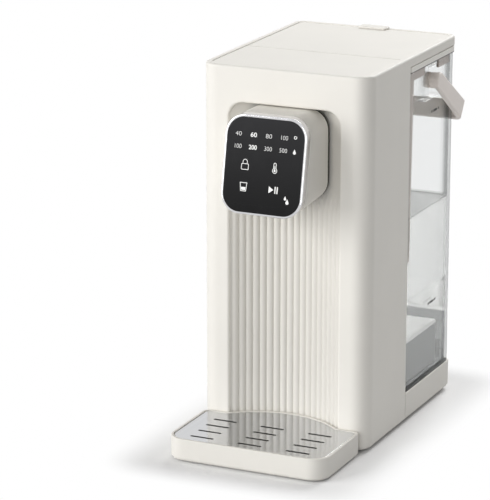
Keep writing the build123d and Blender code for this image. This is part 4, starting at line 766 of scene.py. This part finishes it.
class DISPENSER_OT_finishes(Operator):
    """Give every solid of the dispenser its finish"""

    bl_idname = "dispenser.finishes"
    bl_label = "Finishes"

    def execute(self, context):
        finish = context.scene.dispenser_finish
        by_slot = {
            "body_plastic": body_abs(finish),
            "clear_plastic": clear_copolyester(finish, context.scene.dispenser_tank),
            "white_plastic": inner_pp(finish),
            "silver_trim": silver_trim(finish),
            "dark_glass": panel_acrylic(finish),
            "polished_steel": polished_steel(finish),
            "handle_plastic": handle_pp(finish),
            "black_rubber": soft_rubber(),
            "silicone": silicone(),
            "steel": plain_steel(),
            "circuit_board": circuit_laminate(),
            "black_plastic": black_pbt(),
            "aluminium": bare_aluminium(),
        }
        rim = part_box("water_tank")[1][2]
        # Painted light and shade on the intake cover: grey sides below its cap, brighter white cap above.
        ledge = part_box("intake_cover")[1][2] - finish.lit_cap_height
        # The collar is body cream above the tank's rim and painted shade below it, with a painted shadow line
        # at the rim.
        collar = (rim, finish.skirt, finish.body, finish.seam)
        cover = (ledge, finish.cover, finish.lit_cover_top, finish.seam)
        own = {
            "tank_collar": split_by_height("two_shot_collar_abs", *collar, seam_width=finish.seam_width),
            "intake_cover": split_by_height("two_shot_cover_abs", *cover, seam_width=0.0),
            # The alcove liner takes the darker cream of painted shade.
            "alcove_liner": alcove_abs_painted_shade(finish),
        }
        for part in frame["record"]["subparts"]:
            material = own.get(part["node"]) or by_slot[part["material_slot"]]
            for place in frame["nodes"][part["node"]].material_slots:
                place.material = material
        return {"FINISHED"}


class DISPENSER_OT_panel_print(Operator):
    """Print the numbers and touch symbols on the panel"""

    bl_idname = "dispenser.panel_print"
    bl_label = "Panel print"

    temperatures = ("40", "60", "80", "100")
    volumes = ("100", "200", "300", "500")
    chosen = 1

    def execute(self, context):
        sizes = context.scene.dispenser_print
        ink = glowing_panel_ink(context.scene.dispenser_finish)
        place = panel_plane(sizes.tilt)
        for name, mesh in (("panel_numbers", self.numbers(sizes)), ("panel_symbols", self.symbols(sizes))):
            mesh.transform(place)
            mesh_piece(name, mesh, ink, "body")
        return {"FINISHED"}

    def numbers(self, sizes):
        """Two rows of numbers, the chosen one of each row bold."""
        meshes = []
        rows = ((self.temperatures, sizes.upper_row), (self.volumes, sizes.lower_row))
        for row, height in rows:
            for index, digits in enumerate(row):
                offset = sizes.bold if index == self.chosen else sizes.thin
                mesh = number_mesh(digits, sizes.digit_height, offset, sizes.ink_height)
                across = sizes.first_column + index * sizes.column_pitch
                stretch = sizes.wide if len(digits) == 2 else sizes.slim
                mesh.transform(Matrix.Diagonal((stretch, 1.0, 1.0, 1.0)))
                mesh.transform(Matrix.Translation((across, height, 0.0)))
                meshes.append(mesh)
        return join_meshes("panel_numbers", meshes)

    def symbols(self, sizes):
        """Padlock, thermometer, cup, start-stop and drops, with a degree ring and a drop as row ends."""
        left = sizes.key_offset - sizes.key_column
        right = sizes.key_offset + sizes.key_column
        stroke = sizes.stroke
        row_end = sizes.first_column + len(self.volumes) * sizes.column_pitch - sizes.row_end_gap
        degree = (row_end, sizes.upper_row + sizes.degree_rise)
        volume_drop = (row_end, sizes.lower_row - 0.8 * MM)
        small_drop = (right + 10.6 * MM, sizes.lower_key - 6.0 * MM)
        large_drop = (right + 12.5 * MM, sizes.lower_key - 8.8 * MM)
        shapes = [
            padlock((left, sizes.upper_key), stroke),
            thermometer((right, sizes.upper_key), stroke),
            cup((left, sizes.lower_key), stroke),
            start_stop((right, sizes.lower_key)),
            [ring(degree, sizes.degree_radius), ring(degree, sizes.degree_radius - stroke)],
            [drop_loop(volume_drop, radius=1.2 * MM, height=2.8 * MM)],
            [drop_loop(small_drop, radius=1.0 * MM, height=2.4 * MM)],
            [drop_loop(large_drop, radius=1.3 * MM, height=3.0 * MM)],
        ]
        meshes = [ink_mesh("symbol", loops, sizes.ink_height) for loops in shapes]
        return join_meshes("panel_symbols", meshes)


class DISPENSER_OT_water(Operator):
    """Fill the tank to its level"""

    bl_idname = "dispenser.water"
    bl_label = "Tank water"

    meniscus_rings = 4
    flat_rings = 2
    # Faces that look up more than this take the darker tint painted on the water's surface as shade.
    shaded_surface_slope = 0.1

    def execute(self, context):
        tank = context.scene.dispenser_tank
        low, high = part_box("water_tank")
        skin = tank.wall - tank.wetting
        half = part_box("housing_shell")[1][0] - tank.side_inset - skin
        front, back = low[1] + skin, high[1] - skin
        foot = low[2] + tank.floor - tank.wetting
        rings = []
        for inset, height in [(0.0, foot), *self.surface_profile(tank)]:
            corners = (
                tank.front_radius + 2 * tank.meniscus - inset,
                tank.rear_radius + tank.meniscus - inset,
            )
            outline = rounded_outline(half - inset, front + inset, back - inset, *corners)
            rings.append([(x, y, height) for x, y in outline])
        mesh = lofted("tank_water", rings)
        finish = context.scene.dispenser_finish
        water = still_water("still_water", finish.water, ripple_mm=0.002)
        mesh_piece("tank_water", mesh, water, "tank")
        # Painted shade: the up-facing faces take the darker surface tint.
        mesh.materials.append(still_water("still_water_surface", finish.surface, ripple_mm=0.02))
        for face in mesh.polygons:
            face.material_index = int(face.normal.z > self.shaded_surface_slope)
        return {"FINISHED"}

    def surface_profile(self, tank):
        """Distance from the wall and height of the rings from the meniscus to the flat water."""
        profile = []
        for step in range(self.meniscus_rings + self.flat_rings + 1):
            share = step / self.meniscus_rings
            height = tank.water_level + tank.meniscus * max(0.0, 1 - share) ** 3
            profile.append((tank.meniscus * share, height))
        return profile


class DISPENSER_OT_level_marks(Operator):
    """Print the level marks on the tank's right wall"""

    bl_idname = "dispenser.level_marks"
    bl_label = "Level marks"

    def execute(self, context):
        tank = context.scene.dispenser_tank
        ink = mark_ink(context.scene.dispenser_finish)
        values = {
            "Length": tank.mark_length,
            "Width": tank.mark_width,
            "Thickness": 2 * tank.mark_height,
            "Rise": (tank.mark_high - tank.mark_low) / (tank.mark_count - 1),
            "Dot spread": tank.dot_spread,
            "Dot length": tank.dot_length,
            "Marks": tank.mark_count,
            "Finish": ink,
        }
        mesh = tree_mesh("level_marks", mark_geometry, values)
        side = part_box("housing_shell")[1][0] - tank.side_inset
        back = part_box("water_tank")[1][1]
        mesh.transform(Matrix.Translation((side, back - tank.mark_from_back, tank.mark_low)))
        mesh_piece("level_marks", mesh, ink, "tank")
        return {"FINISHED"}


class DISPENSER_OT_valve_spring(Operator):
    """Wind the tank valve's spring in place of its plain part"""

    bl_idname = "dispenser.valve_spring"
    bl_label = "Valve spring"

    def execute(self, context):
        tank = context.scene.dispenser_tank
        wire = tank.spring_wire
        steel = plain_steel()
        low, high = (Vector(corner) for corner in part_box("valve_spring"))
        length = high.y - low.y
        values = {
            "Radius": (high.x - low.x - wire) / 2,
            "Rise": length - wire,
            "Wire radius": wire / 2,
            "Turns": tank.spring_turns,
            "Finish": steel,
        }
        mesh = tree_mesh("valve_spring_coil", spring_geometry, values)
        middle = (low + high) / 2
        start = Vector((middle.x, low.y + wire / 2, middle.z))
        mesh.transform(Matrix.Translation(start) @ Matrix.Rotation(-math.pi / 2, 4, "X"))
        piece = mesh_piece("valve_spring_coil", mesh, steel, "tank")
        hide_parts("valve_spring")
        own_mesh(piece)
        return {"FINISHED"}


def seen_directly(tree):
    """One for what the camera sees, also in a mirror or through glass, and zero for light on the object."""
    path = add(tree, "ShaderNodeLightPath").outputs
    seen = path["Is Camera Ray"]
    for kind in ("Is Glossy Ray", "Is Transmission Ray"):
        seen = add(tree, "ShaderNodeMath", {0: seen, 1: path[kind]}, operation="MAXIMUM").outputs[0]
    return seen


def floor_paper(studio):
    """White studio paper that takes the shadow close round the object and is plain white further out."""
    material = bpy.data.materials.new("white_studio_paper")
    tree = empty_tree(material)
    tray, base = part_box("drip_tray"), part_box("base_chassis")
    reach = (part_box("housing_shell")[1][0], max(-tray[0][1], base[1][1]), 0.0)
    away = add(tree, "ShaderNodeTexCoord").outputs["Object"]
    for operation, other in (("ABSOLUTE", {}), ("SUBTRACT", {1: reach}), ("MAXIMUM", {1: (0.0, 0.0, 0.0)})):
        away = add(tree, "ShaderNodeVectorMath", {0: away, **other}, operation=operation).outputs["Vector"]
    away = add(tree, "ShaderNodeVectorMath", {0: away}, operation="LENGTH").outputs["Value"]
    limits = {"Value": away, "From Min": studio.floor_clear, "From Max": studio.floor_fade}
    fade = add(tree, "ShaderNodeMapRange", limits, interpolation_type="SMOOTHSTEP").outputs["Result"]
    seen = seen_directly(tree)
    factor = add(tree, "ShaderNodeMath", {0: seen, 1: fade}, operation="MULTIPLY").outputs[0]
    tone = {"Value": seen, "To Min": studio.floor_bounce, "To Max": studio.floor_tone}
    tone = add(tree, "ShaderNodeMapRange", tone).outputs["Result"]
    paper = add(tree, "ShaderNodeBsdfDiffuse", {"Color": tone}).outputs["BSDF"]
    white = add(tree, "ShaderNodeEmission", {"Color": WHITE}).outputs["Emission"]
    mixed = add(tree, "ShaderNodeMixShader", {"Fac": factor, 1: paper, 2: white}).outputs["Shader"]
    add(tree, "ShaderNodeOutputMaterial", {"Surface": mixed})
    return material


def lamp(name, power, size, place, aim):
    """Soft square lamp that points at a place."""
    data = bpy.data.lights.new(name, "AREA")
    data.energy = power
    data.size = size
    source = linked(name, data)
    source.location = place
    source.rotation_euler = (Vector(aim) - Vector(place)).to_track_quat("-Z", "Y").to_euler()


class DISPENSER_OT_studio(Operator):
    """Set up the floor, the lamps, the even light and the camera"""

    bl_idname = "dispenser.studio"
    bl_label = "Studio"

    lamps = ("key", "front", "top", "rear")

    def execute(self, context):
        studio = context.scene.dispenser_studio
        self.floor(studio)
        self.sky(context.scene, studio)
        aim = (0.0, 0.0, studio.lamp_aim)
        for name in self.lamps:
            power, size, place = (getattr(studio, f"{name}_{key}") for key in ("power", "size", "place"))
            lamp(f"{name}_lamp", power, size, place, aim)
        self.camera(context.scene, studio)
        context.scene.view_settings.view_transform = "Standard"
        return {"FINISHED"}

    def floor(self, studio):
        """Flat floor under the feet."""
        half = studio.floor_size / 2
        mesh = bpy.data.meshes.new("floor")
        corners = [(-half, -half, 0.0), (half, -half, 0.0), (half, half, 0.0), (-half, half, 0.0)]
        mesh.from_pydata(corners, [], [(0, 1, 2, 3)])
        mesh.materials.append(floor_paper(studio))
        floor = linked("floor", mesh)

    def sky(self, scene, studio):
        """Even white light, seen as plain white."""
        world = bpy.data.worlds.new("studio_sky")
        tree = empty_tree(world)
        level = {"Value": seen_directly(tree), "To Min": studio.sky, "To Max": 1.0}
        level = add(tree, "ShaderNodeMapRange", level).outputs["Result"]
        glow = add(tree, "ShaderNodeBackground", {"Color": WHITE, "Strength": level})
        add(tree, "ShaderNodeOutputWorld", {"Surface": glow.outputs["Background"]})
        scene.world = world

    def camera(self, scene, studio):
        """Camera at the photograph's angle."""
        low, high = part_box("housing_shell")
        middle = Vector(((low[0] + high[0]) / 2, (low[1] + high[1]) / 2, high[2] / 2))
        turn, rise = studio.azimuth, studio.elevation
        right = Vector((math.cos(turn), math.sin(turn), 0.0))
        back = Vector((math.sin(turn) * math.cos(rise), -math.cos(turn) * math.cos(rise), math.sin(rise)))
        up = back.cross(right)
        data = bpy.data.cameras.new("camera")
        data.sensor_fit = "VERTICAL"
        data.sensor_height = studio.sensor
        data.lens = studio.lens
        data.clip_end = 100.0
        camera = linked("camera", data)
        aim = middle + right * studio.aim_right + up * studio.aim_up
        axes = Matrix((right, up, back)).transposed()
        camera.matrix_world = Matrix.Translation(aim + back * studio.distance) @ axes.to_4x4()
        scene.camera = camera


STEPS = (
    DISPENSER_OT_finishes,
    DISPENSER_OT_panel_print,
    DISPENSER_OT_water,
    DISPENSER_OT_level_marks,
    DISPENSER_OT_valve_spring,
    DISPENSER_OT_studio,
)


class DISPENSER_PT_sidebar(Panel):
    """Steps and settings of the dispenser's looks"""

    bl_idname = "DISPENSER_PT_sidebar"
    bl_label = "Hot water dispenser"
    bl_space_type = "VIEW_3D"
    bl_region_type = "UI"
    bl_category = "Dispenser"

    def draw(self, context):
        for step in STEPS:
            self.layout.operator(step.bl_idname)
        for name in SETTINGS:
            settings = getattr(context.scene, name)
            box = self.layout.box()
            for field in settings.bl_rna.properties:
                if not field.is_readonly and field.identifier != "name":
                    box.prop(settings, field.identifier)


SETTINGS = {
    "dispenser_finish": FinishSettings,
    "dispenser_print": PrintSettings,
    "dispenser_tank": TankSettings,
    "dispenser_studio": StudioSettings,
}
CLASSES = (*SETTINGS.values(), *STEPS, DISPENSER_PT_sidebar)


def register():
    """Register the settings, steps and panel."""
    for item in CLASSES:
        bpy.utils.register_class(item)
    for name, group in SETTINGS.items():
        setattr(bpy.types.Scene, name, PointerProperty(type=group))


def unregister():
    """Remove the settings, steps and panel."""
    for name in SETTINGS:
        delattr(bpy.types.Scene, name)
    for item in reversed(CLASSES):
        bpy.utils.unregister_class(item)


def main():
    """Run every step in order."""
    register()
    bpy.ops.dispenser.finishes()
    bpy.ops.dispenser.panel_print()
    bpy.ops.dispenser.water()
    bpy.ops.dispenser.level_marks()
    bpy.ops.dispenser.valve_spring()
    bpy.ops.dispenser.studio()


if __name__ == "__main__":
    main()
